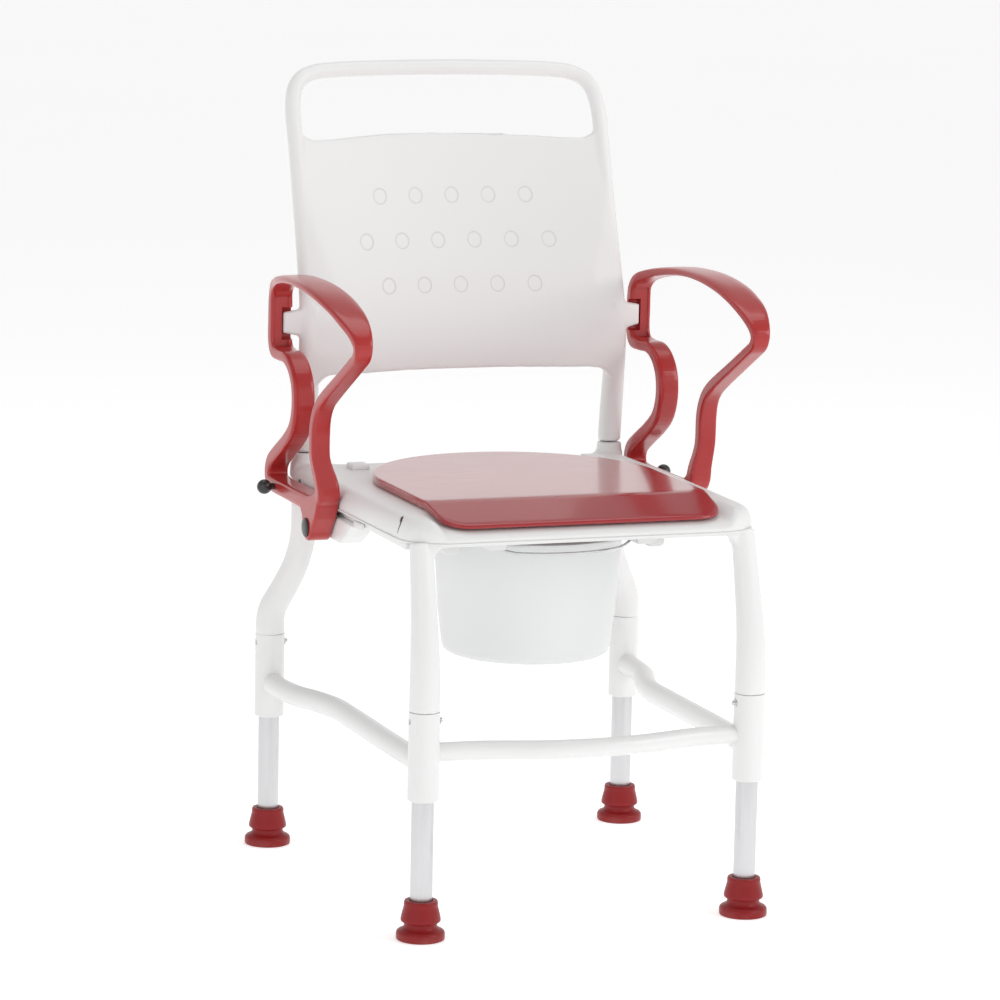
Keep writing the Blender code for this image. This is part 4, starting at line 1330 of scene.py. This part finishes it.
class ChairSettings(bpy.types.PropertyGroup):
    """What a user of the chair would change."""

    frame_colour: colour_setting("Frame", "Colour of the powder-coated tubes", (0.80, 0.80, 0.795))
    moulding_colour: colour_setting(
        "Mouldings", "Colour of the seat and the backrest", (0.79, 0.79, 0.785)
    )
    arm_colour: colour_setting("Armrests", "Colour of the armrests", (0.40, 0.026, 0.026))
    pad_colour: colour_setting("Pad", "Colour of the seat pad's skin", (0.345, 0.020, 0.025))
    foot_colour: colour_setting("Feet", "Colour of the rubber feet", (0.25, 0.008, 0.010))
    tube_colour: colour_setting("Inner tubes", "Colour of the anodised tubes", (0.66, 0.66, 0.67))
    steel_colour: colour_setting(
        "Steel", "Colour of the bail and the lock screws", (0.66, 0.66, 0.68)
    )
    tube_radius: bpy.props.FloatProperty(
        name="Inner tube radius",
        description="Outside radius of the telescoping tubes",
        subtype="DISTANCE",
        unit="LENGTH",
        min=0.010,
        max=0.0142,
        default=0.014,
    )
    key_light: bpy.props.FloatProperty(
        name="Key light",
        description="Power of the main softbox",
        unit="POWER",
        min=0.0,
        default=36.0,
    )
    room_light: bpy.props.FloatProperty(
        name="Room light",
        description="Strength of the even white light from all round",
        min=0.0,
        default=1.0,
    )


class CHAIR_OT_stage(bpy.types.Operator):
    """Set the camera, the floor and the softboxes"""

    bl_idname = "chair.stage"
    bl_label = "Stage"

    def execute(self, context):
        scene = context.scene
        settings = scene.chair
        scene.camera = studio_camera()
        scene.world = studio_world(settings.room_light)
        scene.view_settings.view_transform = "Standard"
        scene.view_settings.exposure = 0.0
        paper_floor()
        for name, place, size, share in LAMPS:
            lamp = bpy.data.lights.new(name, "AREA")
            lamp.shape = "SQUARE"
            lamp.size = size
            lamp.energy = settings.key_light * share
            light = placed(name, lamp)
            light.location = place
            aim = Vector(LAMP_TARGET) - Vector(place)
            light.rotation_euler = aim.to_track_quat("-Z", "Y").to_euler()
        return {"FINISHED"}


class CHAIR_OT_frame(bpy.types.Operator):
    """Build the coated tubes: upper legs, sleeves and stretchers"""

    bl_idname = "chair.frame"
    bl_label = "Frame"

    def execute(self, context):
        coat = white_powder_coat(context.scene.chair.frame_colour)
        settle(front_frame(), "front_frame_tubes", "chair", coat, ["front_frame"], 50)
        settle(front_rail(), "front_rail_tube", "chair", coat, ["front_rail"])
        for side, hand in SIDES:
            name, node = f"rear_leg_tube_{hand}", f"rear_leg_{hand}"
            settle(rear_leg(side), name, "chair", coat, [node])
            name, node = f"side_rail_tube_{hand}", f"side_rail_{hand}"
            settle(side_rail(side), name, "chair", coat, [node])
        for side, corner, place in leg_places():
            name, node = f"sleeve_{corner}", f"leg_sleeve_{corner}"
            settle(sleeve(place, side), name, "chair", coat, [node])
        return {"FINISHED"}


class CHAIR_OT_legs(bpy.types.Operator):
    """Build the telescoping tubes, rubber feet and lock screws"""

    bl_idname = "chair.legs"
    bl_label = "Adjustable legs"

    def execute(self, context):
        settings = context.scene.chair
        aluminium = anodised_tube(settings.tube_colour)
        rubber = red_foot_rubber(settings.foot_colour)
        steel = bright_steel(settings.steel_colour)
        radius = settings.tube_radius
        for side, corner, place in leg_places():
            body = f"leg_{corner}"
            low, high = (place + Vector((0, 0, height)) for height in INNER_TUBE)
            bm = rod(low, high, radius, 64)
            soften(bm, sharp_edges(bm), 0.0006, 2)
            name, node = f"telescoping_tube_{corner}", f"inner_tube_{corner}"
            settle(bm, name, body, aluminium, [node])
            name, node = f"rubber_foot_{corner}", f"foot_{corner}"
            settle(turned(FOOT, place), name, body, rubber, [node])
            start = place + Vector((-side * SLEEVE_RADIUS, 0, LOCK_HEIGHT))
            bm = turned(LOCK_SCREW, start, (-side, 0, 0), 32)
            name, node = f"lock_screw_{corner}", f"leg_lock_{corner}"
            settle(bm, name, "chair", steel, [node])
        return {"FINISHED"}


class CHAIR_OT_seat(bpy.types.Operator):
    """Build the seat shell and what is fixed under and on it"""

    bl_idname = "chair.seat"
    bl_label = "Seat"

    def execute(self, context):
        settings = context.scene.chair
        moulding = white_moulding(settings.moulding_colour)
        coat = white_powder_coat(settings.frame_colour)
        black = black_knob_plastic()
        settle(seat_moulding(), "seat_shell", "chair", moulding, ["seat"], 60)
        flange = slab(seat_outline(-0.0012), SEAT_BOTTOM - 0.0008, SEAT_BOTTOM + 0.0014)
        soften(flange, sharp_edges(flange, 60), 0.0007, 2)
        hole = oval(*(half + FLANGE_GAP for half in SEAT_OPENING))
        flange = carved(flange, [slab(hole, *THROUGH_SEAT)])
        settle(flange, "seat_flange", "chair", moulding, ())
        for side, hand in SIDES:
            under = SEAT_BOTTOM - GAP
            bm = side_block(side, (0.190, -0.1725, 0.484), (0.2315, 0.259, under), 0.002)
            settle(bm, f"seat_beam_{hand}", "chair", coat, [f"seat_rail_{hand}"])
            low, high = SEAT_TOP - 0.0005, SEAT_TOP + 0.0070
            bm = side_block(side, (0.1535, 0.195, low), (0.1785, 0.221, high), 0.0022)
            settle(bm, f"seat_stop_{hand}", "chair", moulding, [f"seat_tab_{hand}"])
            bm = side_slab(side, rounded(BRACKET), 0.2100, 0.2398)
            soften(bm, sharp_edges(bm, 60), 0.0022, 3)
            settle(bm, f"arm_bracket_moulding_{hand}", "chair", coat, [f"arm_bracket_{hand}"])
            bm = turned(PIN_BUSH, (side * 0.2358, *KNOB), (side, 0, 0), 40)
            settle(bm, f"pin_bush_{hand}", "chair", black, [f"pin_socket_{hand}"])
            # A black fill just under the surface of each hooked slit: painted shadow in the slit's
            # depth.
            bm = carved(side_slab(side, HOOK, 0.2190, 0.2500), [seat_core(0.0007)], "INTERSECT")
            settle(bm, f"slit_painted_shadow_{hand}", "chair", black, ())
            bm = side_block(side, (0.2330, -0.020, 0.4815), (0.2385, 0.010, 0.4905), 0.0018)
            settle(bm, f"bracket_clip_{hand}", "chair", moulding, ())
        return {"FINISHED"}


class CHAIR_OT_pad(bpy.types.Operator):
    """Build the lift-off seat pad"""

    bl_idname = "chair.pad"
    bl_label = "Seat pad"

    def execute(self, context):
        cover = red_pad_skin(context.scene.chair.pad_colour)
        pad = settle(pad_shape(), "pad_cushion", "seat_pad", cover, ["seat_pad"], 60)
        return {"FINISHED"}


class CHAIR_OT_backrest(bpy.types.Operator):
    """Build the backrest with its push handle"""

    bl_idname = "chair.backrest"
    bl_label = "Backrest"

    def execute(self, context):
        panel = dimpled_back_panel(context.scene.chair.moulding_colour)
        settle(backrest(), "backrest_moulding", "chair", panel, ["backrest"], 60)
        return {"FINISHED"}


class CHAIR_OT_armrests(bpy.types.Operator):
    """Build both armrests with their pivots and lock knobs"""

    bl_idname = "chair.armrests"
    bl_label = "Armrests"

    def execute(self, context):
        red = red_arm_plastic(context.scene.chair.arm_colour)
        black = black_knob_plastic()
        right = armrest()
        left = flipped(right)
        for (side, hand), bm in zip(SIDES, (left, right)):
            node = f"armrest_{hand}"
            settle(bm, f"armrest_moulding_{hand}", node, red, [node], 50)
            bm = turned(PIVOT_CAP, (side * 0.2720, *PIVOT), (side, 0, 0), 56)
            settle(bm, f"pivot_cap_{hand}", "chair", black, [f"pivot_bolt_{hand}"])
            bm = turned(ball_knob(), (side * 0.2845, *KNOB), (side, 0, 0), 48)
            node = f"lock_knob_{hand}"
            settle(bm, f"ball_knob_{hand}", node, black, [node])
        return {"FINISHED"}


class CHAIR_OT_bucket(bpy.types.Operator):
    """Build the bucket, its wire bail and its slide rails"""

    bl_idname = "chair.bucket"
    bl_label = "Bucket"

    def execute(self, context):
        settings = context.scene.chair
        # The bucket keeps the plain finish that came with its CAD node.
        plastic = bpy.data.materials["bucket_plastic"]
        settle(bucket_shape(), "bucket_shell", "bucket", plastic, ["bucket"])
        wire = bright_steel(settings.steel_colour)
        settle(bail_wire(), "bail_wire", "bucket_bail", wire, ["bucket_bail"])
        moulding = white_moulding(settings.moulding_colour)
        for side, hand in SIDES:
            bm = rail_guide(side, RAIL_END if side < 0 else CUT_GUIDE_END)
            settle(bm, f"rail_guide_{hand}", "chair", moulding, ())
            # A thin black plate on each guide's inner face: painted shadow in the bucket's channel,
            # not a real stop.
            bm = side_block(side, (0.0884, -0.1465, 0.4785), (0.0900, -0.1150, 0.4905), 0.0005, 1)
            settle(bm, f"rail_painted_shadow_{hand}", "chair", black_knob_plastic(), ())
            name, node = f"bucket_channel_{hand}", f"bucket_rail_{hand}"
            settle(bucket_rail(side), name, "chair", moulding, [node])
        return {"FINISHED"}


class CHAIR_PT_panel(bpy.types.Panel):
    """The chair's colours and its pieces"""

    bl_idname = "CHAIR_PT_panel"
    bl_label = "Commode Chair"
    bl_space_type = "VIEW_3D"
    bl_region_type = "UI"
    bl_category = "Chair"

    def draw(self, context):
        settings = context.scene.chair
        for name in ChairSettings.__annotations__:
            self.layout.prop(settings, name)
        for operator in OPERATORS:
            self.layout.operator(operator.bl_idname)


OPERATORS = (
    CHAIR_OT_stage,
    CHAIR_OT_frame,
    CHAIR_OT_legs,
    CHAIR_OT_seat,
    CHAIR_OT_pad,
    CHAIR_OT_backrest,
    CHAIR_OT_armrests,
    CHAIR_OT_bucket,
)
CLASSES = (ChairSettings, *OPERATORS, CHAIR_PT_panel)


def register():
    for cls in CLASSES:
        bpy.utils.register_class(cls)
    bpy.types.Scene.chair = bpy.props.PointerProperty(type=ChairSettings)


def unregister():
    del bpy.types.Scene.chair
    for cls in reversed(CLASSES):
        bpy.utils.unregister_class(cls)


def main():
    register()
    bpy.ops.chair.stage()
    bpy.ops.chair.frame()
    bpy.ops.chair.legs()
    bpy.ops.chair.seat()
    bpy.ops.chair.pad()
    bpy.ops.chair.backrest()
    bpy.ops.chair.armrests()
    bpy.ops.chair.bucket()


if __name__ == "__main__":
    main()
